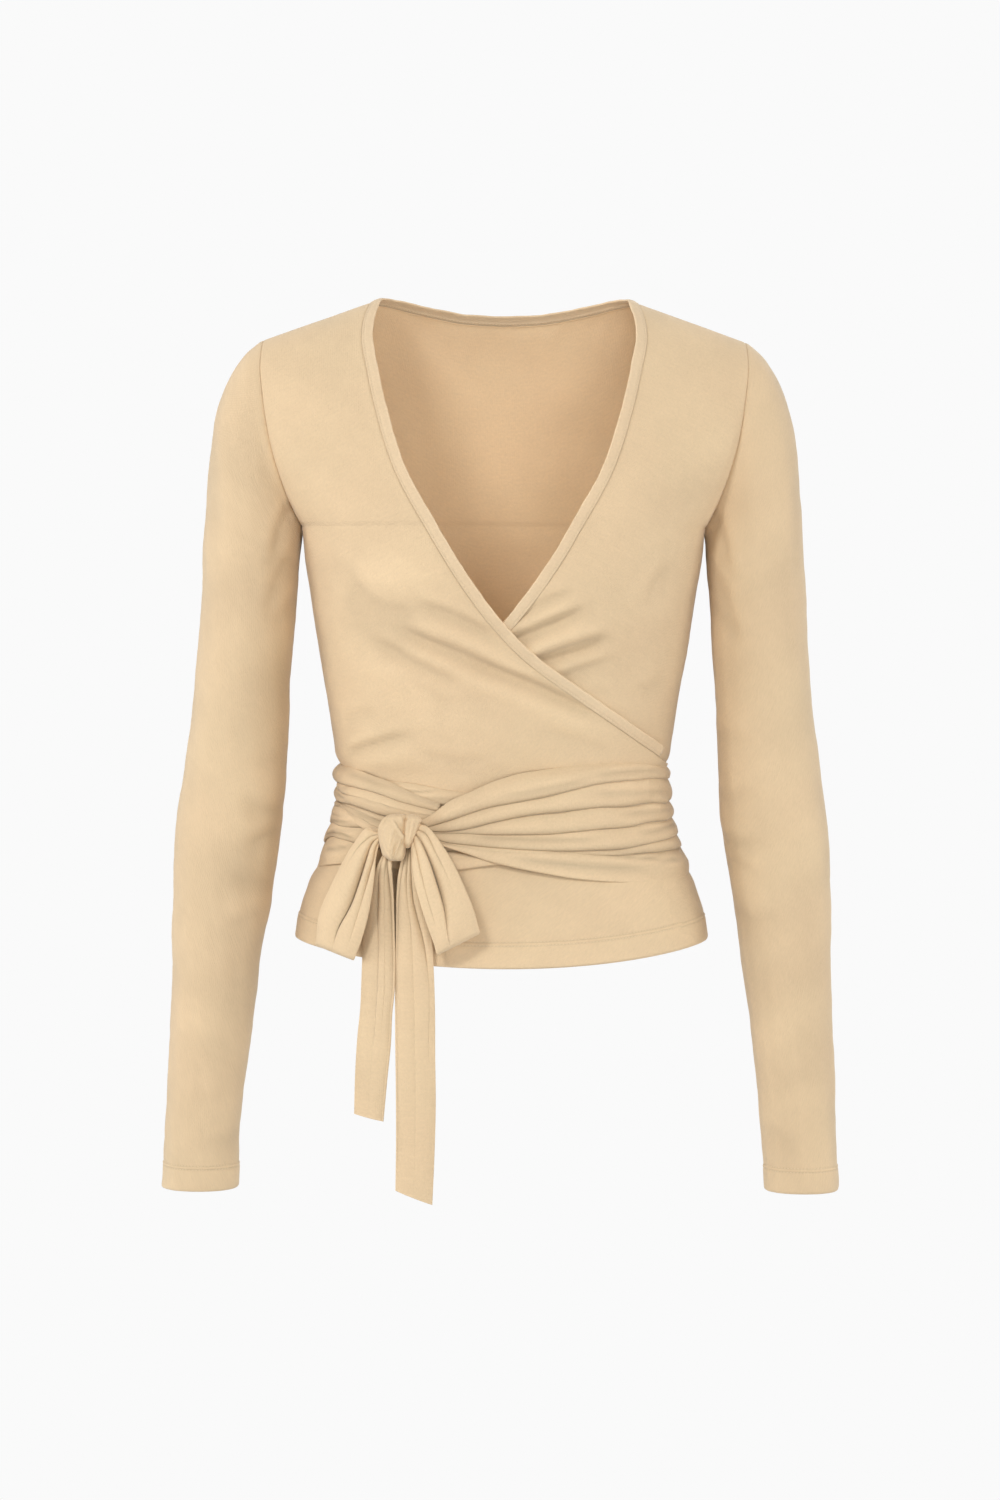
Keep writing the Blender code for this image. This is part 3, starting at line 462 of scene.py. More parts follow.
def cloth(name, middle, thickness, kind, nodes=None, around=False, normal=None, painted_shading=0.0, inner_painted_light=0.0):
    """Closed thin shell. Its two sides lie half the thickness either way from the middle surface, along its
    normals, and rims close its edges. The UV map is the length across and down the cloth in metres. Its point
    attribute carries painted light: above 0 a painted highlight on what stands proud, below 0 painted shade
    in folds; the inner side takes its own value of painted light."""
    rows, columns = middle.shape[:2]
    half = (outward(middle, around) if normal is None else normal) * thickness[..., None] / 2
    points = np.concatenate([(middle + half).reshape(-1, 3), (middle - half).reshape(-1, 3)])
    closed = np.concatenate([middle, middle[:, :1]], 1) if around else middle
    length = np.stack([run_of(closed, 1), run_of(closed, 0)], -1) * MM
    j = np.arange(columns + around)
    outer = np.arange(rows)[:, None] * columns + j % columns
    inner = outer + rows * columns
    place = np.arange(outer.size).reshape(outer.shape)
    faces, spots = [], []

    def add(*corners):
        faces.append(np.stack([sheet[down, side] for sheet, down, side in corners], -1).reshape(-1, 4))
        spots.append(np.stack([place[down, side] for _, down, side in corners], -1).reshape(-1, 4))

    # Rows and columns without their last one, and without their first.
    a, b = slice(None, -1), slice(1, None)
    add((outer, a, a), (outer, b, a), (outer, b, b), (outer, a, b))
    add((inner, a, a), (inner, a, b), (inner, b, b), (inner, b, a))
    add((inner, 0, a), (outer, 0, a), (outer, 0, b), (inner, 0, b))
    add((inner, -1, a), (inner, -1, b), (outer, -1, b), (outer, -1, a))
    if not around:
        add((inner, a, 0), (inner, b, 0), (outer, b, 0), (outer, a, 0))
        add((inner, a, -1), (outer, a, -1), (outer, b, -1), (inner, b, -1))
    uv = length.reshape(-1, 2)[np.concatenate(spots).ravel()]
    item = mesh_object(name + "_cloth", points, np.concatenate(faces), fabric(kind), uv)
    sides = [np.broadcast_to(side, (rows, columns)).ravel() for side in (painted_shading, inner_painted_light)]
    # Painted highlight and painted shade for both sides, which the material reads.
    store = item.data.attributes.new("painted_shading", "FLOAT", "POINT")
    store.data.foreach_set("value", np.concatenate(sides).astype(np.float32))
    return dress(item, nodes or [name])


def rounded(edge, thickness, radius=0.7):
    """Thickness, rounded off over a radius from a free edge: thickness x sqrt(1 - (1 - edge / radius)^2)."""
    return thickness * np.sqrt(np.clip(1 - (1 - np.clip(edge / radius, 0.02, 1)) ** 2, 0, 1))


def capsule(radius):
    """Points and faces of one stitch along +X: five rings whose radius follows sqrt(1 - 0.96 u^2), with two
    faces to close each end."""
    u = np.array([-1, -0.8, 0, 0.8, 1.0])
    turn = np.linspace(0, TAU, 6, endpoint=False)
    girth = radius * np.sqrt(1 - 0.96 * u ** 2)[:, None]
    along = (u * STITCH_LONG / 2)[:, None] + 0 * turn
    form = np.stack([along, girth * np.cos(turn), girth * np.sin(turn)], -1).reshape(-1, 3)
    ring = np.arange(30).reshape(5, 6)
    ring = np.hstack([ring, ring[:, :1]])
    sides = np.stack([ring[:-1, :-1], ring[:-1, 1:], ring[1:, 1:], ring[1:, :-1]], -1).reshape(-1, 4)
    ends = [[0, 1, 4, 5], [1, 2, 3, 4], [29, 28, 25, 24], [28, 27, 26, 25]]
    return form, np.concatenate([sides, ends])


def stitches(name, rows, radius, slot):
    """Machine stitches laid along lines of points: on each pitch a capsule, turned along the line and half
    sunk into the cloth."""
    form, quads = capsule(radius)
    pitch = bpy.context.scene.wrap_top.pitch / MM
    points, faces, start = [], [], 0
    for line, normal in rows:
        run = run_along(line)
        at = np.arange(pitch, run[-1] - pitch / 2, pitch)
        centre, near, up = (np.stack([np.interp(spot, run, column) for column in values.T], 1)
                            for spot, values in ((at, line), (at + 0.3, line), (at, normal)))
        ahead = unit(near - centre)
        side = unit(np.cross(up, ahead))
        axes = np.stack([ahead, side, np.cross(ahead, side)], 1)
        points.append((centre[:, None] + np.einsum("vk,skd->svd", form, axes)).reshape(-1, 3))
        faces.append((quads + (start + len(form) * np.arange(len(at)))[:, None, None]).reshape(-1, 4))
        start += len(form) * len(at)
    return dress(mesh_object(name, np.concatenate(points), np.concatenate(faces), fabric("thread")), [], slot)


# ---- Materials
MATERIALS = {"jersey": "brushed_jersey_panels", "neckband": "brushed_jersey_band",
             "ties": "brushed_jersey_ties", "thread": "spun_polyester_thread"}
# Real sizes of the cloth's texture, in metres. The jersey's own wales are 0.45 mm apart, too fine to show
# from three metres, so they are drawn three times as coarse and very shallow.
WALE, COURSE = 0.0014, 0.0011
GRAIN, CLOUD, STREAK = 0.0020, 0.045, 0.012
NAP_DEPTH, KNIT_DEPTH, KNIT_LEAN = 0.00028, 0.00006, 2.4
# How much the wash's clouds, the streaks and the grain lighten or darken the colour, and how much the
# painted highlight and painted shade of the point attribute do.
CLOUDED, STREAKED, GRAINED, PAINTED_SHADING_AMOUNT = 0.12, 0.07, 0.20, 0.11
TWIST = 0.0004


def node(tree, kind, **values):
    """Add a node and set its properties and inputs, each to a value or from another node's socket, which is
    the first one where only the node is named. An input goes by its name or, as i0, by its number."""
    made = tree.nodes.new("ShaderNode" + kind)
    for name, value in values.items():
        key = int(name[1:]) if name[1:].isdigit() else name.replace("_", " ")
        if hasattr(made, name):
            setattr(made, name, value)
        elif isinstance(value, (bpy.types.Node, bpy.types.NodeSocket)):
            tree.links.new(getattr(value, "outputs", [value])[0], made.inputs[key])
        else:
            made.inputs[key].default_value = value
    return made


def new_material(name):
    """New material, with its node tree and its Principled shader."""
    material = bpy.data.materials.new(name)
    material.use_nodes = True
    return material, material.node_tree, material.node_tree.nodes["Principled BSDF"]


def brushed_jersey(name, tone, settings):
    """Brushed modal jersey, piece-dyed and washed: knitted fine, then sanded, so a short nap scatters light.
    To the eye it is matte, paler where it turns away and softly clouded by the wash. Its colour also carries
    painted light from a point attribute: a painted highlight on what stands proud and painted shade in its
    folds. The knit's height is |sin wale| + 0.5 sin(course + 2.4 |sin wale|)."""
    material, tree, shader = new_material(name)
    place = node(tree, "TexCoord")
    uv, spot = place.outputs["UV"], place.outputs["Object"]
    cloud = node(tree, "TexNoise", Scale=1 / CLOUD, Detail=3.0, Roughness=0.6, Vector=spot)
    tint = node(tree, "TexNoise", noise_dimensions="4D", W=3.0, Scale=0.6 / CLOUD, Detail=2.0, Vector=spot)
    stretch = node(tree, "Mapping", Scale=(1 / STREAK, 1 / GRAIN, 1), Vector=uv)
    streak = node(tree, "TexNoise", Scale=1.0, Detail=2.0, Vector=stretch)
    grain = node(tree, "TexNoise", Scale=1 / GRAIN, Detail=3.0, Roughness=0.65, Vector=uv)
    painted_shading_input = node(tree, "Attribute", attribute_name="painted_shading")

    total = None
    for noise, amount in ((cloud, CLOUDED), (streak, STREAKED), (grain, GRAINED)):
        step = node(tree, "Math", operation="MULTIPLY_ADD", i1=amount, i2=1 - amount / 2, i0=noise)
        total = step if total is None else node(tree, "Math", operation="MULTIPLY", i0=total, i1=step)
    # Painted light: the point attribute lifts the colour on what stands proud and darkens it in folds.
    painted_shading_scale = node(tree, "Math", operation="MULTIPLY_ADD", i1=PAINTED_SHADING_AMOUNT, i2=1.0, i0=painted_shading_input.outputs["Fac"])
    total = node(tree, "Math", operation="MULTIPLY", i0=total, i1=painted_shading_scale)
    hue = node(tree, "Mix", data_type="RGBA", i6=(*tone, 1), i7=(*settings.rose, 1), i0=tint)
    shade = node(tree, "VectorMath", operation="SCALE", i0=hue.outputs[2], Scale=total)
    tree.links.new(shade.outputs[0], shader.inputs["Base Color"])

    knit = node(tree, "Mapping", Scale=(math.pi / WALE, TAU / COURSE, 1), Vector=uv)
    axes = node(tree, "SeparateXYZ", i0=knit)
    wale = node(tree, "Math", operation="SINE", i0=axes)
    arm = node(tree, "Math", operation="ABSOLUTE", i0=wale)
    leg = node(tree, "Math", operation="MULTIPLY_ADD", i1=KNIT_LEAN, i0=arm, i2=axes.outputs["Y"])
    loop = node(tree, "Math", operation="SINE", i0=leg)
    stitch = node(tree, "Math", operation="MULTIPLY_ADD", i1=0.5, i0=loop, i2=arm)
    ribbed = node(tree, "Bump", Strength=1.0, Distance=KNIT_DEPTH, Height=stitch)
    nap = node(tree, "Bump", Strength=1.0, Distance=NAP_DEPTH, Height=grain, Normal=ribbed)
    tree.links.new(nap.outputs[0], shader.inputs["Normal"])
    for socket, value in (("Roughness", 0.88), ("Sheen Weight", settings.nap), ("Sheen Roughness", 0.45),
                          ("Sheen Tint", (1.0, 0.95, 0.86, 1)), ("Specular IOR Level", 0.25), ("IOR", 1.5)):
        shader.inputs[socket].default_value = value
    return material


def spun_thread(name, settings):
    """Spun polyester sewing thread dyed to match: tightly twisted, smoother and paler than the cloth."""
    material, tree, shader = new_material(name)
    place = node(tree, "TexCoord")
    twist = node(tree, "TexNoise", Scale=1 / TWIST, Detail=1.0, Vector=place.outputs["Object"])
    ply = node(tree, "Math", operation="MULTIPLY_ADD", i1=0.2, i2=0.9, i0=twist)
    shade = node(tree, "VectorMath", operation="SCALE", i0=settings.thread, Scale=ply)
    tree.links.new(shade.outputs[0], shader.inputs["Base Color"])
    shader.inputs["Roughness"].default_value = 0.6
    shader.inputs["Sheen Weight"].default_value = 0.15
    return material


def fabric(kind):
    """The material of a kind of cloth or thread, made once."""
    settings = bpy.context.scene.wrap_top
    name = MATERIALS[kind]
    if name in bpy.data.materials:
        return bpy.data.materials[name]
    if kind == "thread":
        return spun_thread(name, settings)
    return brushed_jersey(name, settings.band if kind == "neckband" else settings.camel, settings)


# ---- Fronts, back and neckbands
# Hem: its height, the gap between its two rows of stitches, how much thicker it is where it is turned up, and
# how far above its stitches the grid's rows are close.
HEM_TALL, HEM_TWIN, HEM_EXTRA, SEWN_ABOVE = 18.6, 2.6, 0.35, 3
HEM_LINES = HEM_TALL, HEM_TALL - HEM_TWIN
STITCH_GROOVE, STITCH_GROOVE_WIDE, STITCH_SHADE, STITCH_SHADE_WIDE = 0.32, 0.7, 1.1, 0.5
# The puff between both rows of stitches, and the gathers beside them: how high, long and tall.
PUFF, GATHER, GATHER_LONG, GATHER_TALL = 0.12, 0.16, 7.0, 5.0
# Painted light and shade in the attribute's units: the most that relief gives, the painted light on the
# inner side, the painted shade at the neck seam, and the painted shade where the bow's tails lie close over
# the right front.
PAINTED_RELIEF_MOST, INNER_PAINTED_LIGHT, NECK_SHADE = 1.5, 1.4, 1.2
BOW_SHADE, BOW_X, BOW_WIDE, BOW_TOP, BOW_BOTTOM, BOW_FADE = 5.0, -84.5, 9.0, -384.0, -468.0, 12
BAND_WIDE, BAND_THICK, BAND_GAP, BAND_END_Z = 8.2, 1.7, 0.12, -327
# How high the band's back stands, and how deep it lies in at its stitches and at its seam.
BAND_CROWN, BAND_GROOVE, BAND_DITCH = 0.45, 0.34, 0.35
BAND_SHOULDER_ROWS, BAND_LOWER_ROWS, BAND_BACK_ROWS = 120, 170, 150
# The band's row of stitches: its distance from the seam, and the column of the band that lies there.
BAND_STITCH, BAND_COLUMN = 1.7, 5


def shoulder_levels(count):
    """Levels from the shoulder seam to the underarm, closer over the shoulder."""
    return np.linspace(SHOULDER_SEAM ** (1 / 1.5), 1, count, endpoint=False) ** 1.5


def hem_steps(below):
    """Heights of a hem's rows over its edge: close at its stitches and its edge, wider from below on."""
    sewn = np.linspace(HEM_TALL + SEWN_ABOVE, HEM_TALL - HEM_TWIN - 2, 16, endpoint=False)
    return np.concatenate([sewn, np.linspace(below, 2, 7), EDGE_STEPS[::-1]])


def levels():
    """Levels of a panel's rows from the shoulder to the hem."""
    tall = UNDERARM_Z - HEM_FRONT
    hem = hem_steps(HEM_TALL - HEM_TWIN - 2.525)
    lower = np.linspace(1, 2 - (HEM_TALL + SEWN_ABOVE) / tall, LOWER_ROWS, endpoint=False)
    return np.concatenate([shoulder_levels(SHOULDER_ROWS), lower, 2 - hem / tall])


def hem_relief(run, above, seed):
    """Turned-up hem: a little proud below its twin rows of stitches, each row pulled into a groove, the cloth
    puffed between them, and slight gathers beside them that fade within a few millimetres."""
    upper, lower = HEM_LINES
    rise = HEM_EXTRA * ease((upper + 1 - above) / 2) * ease(above / 1.5)
    rows = bell(above - upper, STITCH_GROOVE_WIDE) + bell(above - lower, STITCH_GROOVE_WIDE)
    off = above - (upper + lower) / 2
    puff = PUFF * bell(off, STITCH_GROOVE_WIDE)
    gathers = ripple(run, 0 * run, GATHER, GATHER_LONG, seed) * bell(off, GATHER_TALL)
    return rise - STITCH_GROOVE * rows + puff + gathers


def panel(name, base, normal, out, raised, calm, above, dark=0.0, turned=False, around=False, inner_painted_light=INNER_PAINTED_LIGHT):
    """Jersey panel on a base surface, moved out by its relief. Its colour carries painted light: a painted
    highlight on what is raised, painted shade in the grooves of the hem's stitches and wherever dark is
    given, and painted light on its inner side. A turned one is carried over to its own side of the body.
    Gives the piece, and the points and normals of its outer side."""
    jersey = bpy.context.scene.wrap_top.jersey / MM
    thickness = rounded(above, jersey + HEM_EXTRA * ease((HEM_TALL - above) / 2))
    # Painted highlight where the panel is raised, painted shade in the hem's stitch grooves and where dark is
    # given.
    raised = np.clip(raised, -PAINTED_RELIEF_MOST, PAINTED_RELIEF_MOST) * calm
    grooves = sum(bell(above - line, STITCH_SHADE_WIDE) for line in HEM_LINES)
    painted_shading = 0.5 * raised - STITCH_SHADE * grooves - dark
    grids = base + normal * out[..., None], normal, thickness, painted_shading
    points, normal, thickness, painted_shading = (mirrored(grid) for grid in grids) if turned else grids
    item = cloth(name, points, thickness, "jersey", around=around, normal=normal, painted_shading=painted_shading, inner_painted_light=inner_painted_light)
    return item, points + normal * thickness[..., None] / 2, normal


def front_surface(level):
    """A front's base points and normals, share across, and lengths across from its side seam and from the
    centre front. Its columns run from the side seam to the neck and are close at both."""
    first = SIDE_SEAM - math.pi / 2
    last = to_angle(neck_edge(level))
    close = np.array([0, 0.0015, 0.004, 0.008])
    even = np.concatenate([close, np.linspace(0.014, 0.986, FRONT_COLUMNS - 8), 1 - close[::-1]])
    share = to_share(first + (last - first)[:, None] * even)
    base = body(share, level[:, None], -1)
    across = run_of(base, 1)
    return base, body_outward(share, level[:, None], -1), share, across, across - quarter(level)[:, None]


def under_cover(x, along, z):
    """Relief of the left front where the right one covers it: it follows that front's folds. Sides as built,
    before the left front is turned over to its own side."""
    covered = ease((look(NECK_SEAM, "x", z) + x + 4) / 8)
    return OVER_FOLD * covered * folds(-along, z, OVER_FOLDS)


def make_front(name, over, seed):
    """One front: the body surface moved out by its layer's lift, its folds, seams, hem and slight ripples."""
    base, normal, share, across, along = front_surface(levels())
    x, z = base[..., 0], base[..., 2]
    off = lift(share, z, over)
    if over:
        out = off + OVER_FOLD * folds(along, z, OVER_FOLDS) + ease((share + 0.9) / 0.5) * crossing(z)
    else:
        out = off + UNDER_FOLD * folds(-along, z, UNDER_FOLDS) + under_cover(x, along, z)
    down = run_of(base, 0)
    above, far = down[-1] - down, across[:, -1:] - across
    calm = ease(across / CALM_SIDE) * ease(far / CALM_NECK) * ease(down / CALM_SHOULDER)
    out += uneven(along, z, seed, *FRONT_RIPPLES) * calm
    sides = bell(across, SEAM_DITCH_WIDE) + bell(far, SEAM_DITCH_WIDE * 0.7)
    out -= SEAM_DITCH * np.maximum(sides, bell(down, SEAM_DITCH_WIDE))
    out += hem_relief(along, above, seed + 2)
    # Painted shade along the neck seam, and on the right front behind the bow's tails.
    dark = NECK_SHADE * bell(far, 0.6)
    if over:
        behind = ease((z - BOW_BOTTOM) / BOW_FADE) * ease((BOW_TOP - z) / BOW_FADE)
        dark += BOW_SHADE * behind * bell(x - BOW_X, BOW_WIDE)
    return panel(name, base, normal, out, out - off, calm, above, dark, turned=not over)


def stitch_lines(outer, normal, above, around=False):
    """The two lines of a hem's twin needle, on the grid's rows nearest their heights. One round a sleeve is
    closed, and one on a panel stops short of its sides."""
    found = []
    for height in HEM_LINES:
        row = int(np.argmin(np.abs(above - height)))
        lines = outer[row], normal[row]
        found.append([np.vstack([line, line[:1]]) if around else line[2:-2] for line in lines])
    return found


def beyond(seam, normal):
    """Unit direction across a band that carries a surface on past its seam."""
    return unit(np.cross(normal, np.gradient(seam, axis=0)))


def band_section(width):
    """Height of the doubled band over its width: a low round back, pressed down along its row of stitches."""
    crown = BAND_CROWN * np.clip(1 - ((width - BAND_WIDE * 0.58) / (BAND_WIDE * 0.62)) ** 2, 0, 1)
    return crown - BAND_GROOVE * bell(width - BAND_STITCH, 0.62) - BAND_DITCH * bell(width, 0.5)


def make_band(name, seam, normal, across, flip, seed, covered=False):
    """Doubled band of even width beyond a neck seam, folded round at its free edge. A covered one follows the
    folds of the right front where that lies over it. Gives the piece and its line of stitches."""
    width = np.concatenate([[0, 0.1, 0.3, 0.7, 1.2, BAND_STITCH], np.linspace(2.3, BAND_WIDE - 0.9, 9),
                            BAND_WIDE - EDGE_STEPS[::-1]])
    run = run_along(seam)[:, None]
    sway = ripple(run, 0 * run, 0.16, 19.0, seed) * (width / BAND_WIDE) ** 2
    grid = seam[:, None] + across[:, None] * (BAND_GAP + width + sway)[..., None]
    high = band_section(width) + ripple(run, width, 0.1, 9.0, seed + 1) * ease(width / 3)
    if covered:
        high = high + under_cover(grid[..., 0], grid[..., 0], grid[..., 2])
    grid = grid + normal[:, None] * high[..., None]
    thickness = rounded(np.minimum(width + 0.35, BAND_WIDE - width), BAND_THICK, 1.0) + 0 * run
    # Painted highlight along the free edge, painted shade along the seam and the row of stitches.
    painted_shading = bell(BAND_WIDE - width, 1.1) - 2.0 * bell(width, 0.5) - bell(width - BAND_STITCH, 0.45) + 0 * run
    grids, column = (grid, outward(grid), thickness, painted_shading), BAND_COLUMN
    if flip:
        grids, column = [mirrored(each) for each in grids], len(width) - 1 - BAND_COLUMN
    grid, normals, thickness, painted_shading = grids
    item = cloth(name, grid, thickness, "neckband", normal=normals, painted_shading=painted_shading)
    outer = grid[:, column] + normals[:, column] * thickness[:, column, None] / 2
    return item, (outer[3:-3], normals[3:-3, column])


def make_front_band(name, over, seed):
    """Band along a front's neck seam, from its shoulder to the waist's far side. The right one lies over."""
    lower = np.linspace(1, 1 + (UNDERARM_Z - BAND_END_Z) / (UNDERARM_Z - HEM_FRONT), BAND_LOWER_ROWS)
    level = np.concatenate([shoulder_levels(BAND_SHOULDER_ROWS), lower])
    share = neck_edge(level)
    seam, normal = body(share, level, -1), body_outward(share, level, -1)
    x, z = seam[:, 0], seam[:, 2]
    if over:
        raised = crossing(z) + BAND_OVER_FOLD * folds(x, z, OVER_FOLDS)
    else:
        raised = BAND_UNDER_FOLD * folds(-x, z, UNDER_FOLDS)
    seam = seam + normal * (lift(share, z, over) + raised)[:, None]
    across = beyond(seam, normal)
    across[0, 1] = 0
    return make_band(name, seam, normal, across, not over, seed, not over)


def back_neck_level(share):
    """Level at which the back neck seam crosses each column."""
    x = TIP_HALF * np.abs(share)
    top = shoulder_z(x)
    level = (top - look(BACK_NECK, "z", x)) / (top - UNDERARM_Z)
    return np.where(x < BACK_NECK_HALF, np.maximum(level, SHOULDER_SEAM), SHOULDER_SEAM)


def make_back():
    """Back panel from the shoulder seams and back neck to the hem, its columns close at the side seams."""
    end = math.pi / 2 - SIDE_SEAM
    close = np.concatenate([[0, 0.004, 0.01, 0.02], np.linspace(0.035, 1, BACK_SIDE_COLUMNS)])
    flankward = end - (end - NECK_TURN) * close
    middle = np.linspace(NECK_TURN, -NECK_TURN, BACK_COLUMNS - 2 * len(flankward) + 2)
    angle = np.concatenate([flankward[:-1], middle, -flankward[::-1][1:]])
    share = to_share(angle)
    start = back_neck_level(share)
    upper = start + (1 - start) * (np.linspace(0, 1, BACK_SHOULDER_ROWS, endpoint=False) ** 1.5)[:, None]
    level = np.concatenate([upper, levels()[SHOULDER_ROWS:, None] + 0 * start])
    base, normal = body(share, level, 1), body_outward(share, level, 1)
    z, across, down = base[..., 2], run_of(base, 1), run_of(base, 0)
    centre = np.argmin(np.abs(angle))
    along = across[:, centre:centre + 1] - across
    above = (down[-1] - down) * (UNDERARM_Z - HEM_FRONT) / (UNDERARM_Z - HEM_BACK)
    edge = np.minimum(across, across[:, -1:] - across)
    calm = ease(edge / CALM_SIDE) * ease(down / CALM_SHOULDER)
    raised = folds(along, z, BACK_FOLDS) + uneven(along, z, 51, *BACK_RIPPLES) * calm
    ditch = SEAM_DITCH * np.maximum(bell(edge, SEAM_DITCH_WIDE), bell(down, SEAM_DITCH_WIDE))
    out = raised - ditch + hem_relief(along, above, 53)
    # The back's inner side gets more painted light, most towards its top.
    item, outer, normal = panel("back", base, normal, out, raised, calm, above,
                                inner_painted_light=INNER_PAINTED_LIGHT + 1.0 + 0.7 * ease((z + 200) / 150))
    return item, stitch_lines(outer, normal, above[:, centre])


def make_back_band():
    """Band round the back neck, mitred to the front bands at the shoulders."""
    share = to_share(np.linspace(NECK_TURN, -NECK_TURN, BAND_BACK_ROWS))
    start = back_neck_level(share)
    seam, normal = body(share, start, 1), body_outward(share, start, 1)
    across = beyond(seam, normal)
    across[[0, -1], 1] = 0
    seam[[0, -1], 1] += 0.1
    return make_band("neckband_back", seam[::-1], normal[::-1], across[::-1], True, 43)


# ---- Sleeves
CAP = table("x z", [
    (178.2, -18.9), (189, -27.2), (199.5, -42), (209, -64.5), (215.5, -97), (219, -137), (220.6, -178),
])
SLEEVE = table("z x half deep y", [
    (-178, 185.3, 35.3, 46, 0), (-212, 187.8, 34.4, 45, -1), (-245, 190.2, 34.3, 44, -2),
    (-290, 193.3, 35.2, 42, -4), (-334, 197.2, 37.3, 40.5, -7), (-378, 201.8, 38.9, 40, -10),
    (-423, 206, 35.8, 37, -14), (-478, 210.4, 31.8, 34, -18), (-534, 214.8, 29.2, 31, -22),
    (-600, 219.9, 27.3, 28, -26), (-640.5, 221.7, 26.9, 27, -28),
])
UNDERARM_GAP, CAP_GAP, CAP_BOW = 0.35, 0.2, 9.0
SLEEVE_ROUND = 2.1
SLEEVE_COLUMNS, CAP_ROWS, ARM_ROWS = 88, 52, 176
# Depth of the underarm seam, and the swell of the sleeve beside the armhole and how far from it that is.
ARM_DITCH, CAP_SWELL, CAP_SWELL_AT = 0.4, 0.3, 3.5
# Length round the sleeve for each degree.
ARM_MM = 0.66

# Folds on a sleeve: turn in degrees (0 outer side, 90 front, 180 under the arm, 270 back) and height.
RIGHT_ARM_FOLDS = fold_table([
    (172, -128, 132, -150, 120, -196, 1.8, 6), (160, -168, 128, -196, 118, -236, 1.1, 7),
    (176, -196, 146, -216, 126, -226, 0.9, 6), (186, -352, 142, -362, 100, -350, 1.3, 6),
    (190, -382, 150, -378, 108, -392, 1.5, 6), (184, -410, 138, -416, 92, -402, 1.1, 7),
    (178, -442, 140, -438, 96, -452, 0.9, 7), (200, -366, 236, -354, 272, -360, 1.2, 7),
    (196, -396, 240, -402, 280, -388, 1, 7), (176, -318, 140, -326, 112, -318, 0.8, 7),
    (150, -560, 100, -572, 60, -562, 0.7, 8), (178, -596, 128, -606, 84, -598, 0.8, 7),
    (40, -520, 76, -532, 120, -526, 0.5, 8), (196, -150, 236, -172, 262, -216, 1.4, 8),
    (204, -210, 236, -236, 250, -270, 0.9, 8), (200, -590, 250, -602, 290, -594, 0.7, 7),
    (14, -96, 40, -140, 46, -190, 0.6, 10),
])
LEFT_ARM_FOLDS = fold_table([
    (174, -130, 138, -156, 126, -204, 1.6, 6), (164, -176, 134, -210, 122, -244, 1, 7),
    (178, -204, 142, -222, 118, -238, 0.8, 7), (186, -346, 146, -352, 112, -340, 1, 7),
    (190, -374, 148, -386, 104, -378, 1.5, 6), (184, -402, 146, -400, 96, -414, 1.2, 6.5),
    (180, -430, 134, -440, 88, -430, 1, 7), (202, -360, 242, -364, 274, -352, 1.1, 7),
    (198, -388, 236, -394, 286, -402, 1.1, 7), (178, -310, 148, -306, 104, -316, 0.7, 7),
    (142, -548, 96, -556, 52, -546, 0.6, 8), (180, -604, 138, -598, 92, -610, 0.8, 7),
    (34, -470, 64, -486, 104, -480, 0.5, 8), (198, -152, 234, -180, 258, -226, 1.3, 8),
    (206, -222, 240, -246, 254, -282, 0.8, 8), (206, -584, 246, -592, 296, -586, 0.6, 7),
    (10, -104, 36, -150, 40, -206, 0.5, 10),
])


def sleeve_grid():
    """Rings of the left sleeve from the armhole, where they fan about the underarm, down the arm to the cuff.
    A ring runs from its outer to its under point and is drawn out front and back by (1 - |cos t|^p)^(1/p)."""
    turn = math.pi - np.linspace(0, TAU, SLEEVE_COLUMNS, endpoint=False)
    down = (1 - np.cos(turn)) / 2
    side = np.where(np.sin(turn) > 0, -1, 1)

    def ring(outer, under, bow, deep, y, power):
        oval = np.maximum(1 - np.abs(np.cos(turn)) ** power, 0) ** (1 / power)
        x = outer[0] + (under[0] - outer[0]) * down + bow * oval ** 2
        z = outer[1] + (under[1] - outer[1]) * down + 0.4 * bow * oval ** 2
        return np.stack([x, y * (1 - down) + side * deep * oval, z], -1)

    gap = CAP_GAP + (UNDERARM_GAP - CAP_GAP) * down
    armhole = np.stack([armhole_half(down) + gap, armhole_y(down, side), armhole_z(down)], -1)
    under_x = armhole_half(np.array([1.0]))[0] + UNDERARM_GAP
    inner_x = SLEEVE["x"][0] - SLEEVE["half"][0]
    run = run_along(np.stack([CAP["x"], CAP["z"]], 1))
    low, high = SLEEVE["z"][-1], SLEEVE["z"][0]
    rings, spare = [], 0
    for g in np.concatenate([[0, 0.004, 0.01], np.linspace(0.02, 1, CAP_ROWS) ** 1.1]):
        outer = smooth(g * run[-1], run, CAP["x"]), smooth(g * run[-1], run, CAP["z"])
        under = under_x + (inner_x - under_x) * g, UNDERARM_Z + (high - UNDERARM_Z) * g
        deep = ARMHOLE_DEPTH + (SLEEVE["deep"][0] - ARMHOLE_DEPTH) * g
        section = ring(outer, under, CAP_BOW * (1 - g) ** 2, deep, SHOULDER_Y * (1 - g), ARMHOLE_ROUND)
        if not rings:
            spare = armhole - section
        rings.append(section + spare * (1 - g) ** 3)
    arm = np.linspace(high - 2, low + HEM_TALL + 4.5, ARM_ROWS)
    for z in np.concatenate([arm, low + hem_steps(HEM_TALL - HEM_TWIN - 3)]):
        x, half, deep, y = (look(SLEEVE, name, z) for name in ("x", "half", "deep", "y"))
        rings.append(ring((x + half, z), (x - half, z), 0, deep, 0, SLEEVE_ROUND) + [0, y, 0])
    return np.stack(rings), np.degrees(turn) % 360


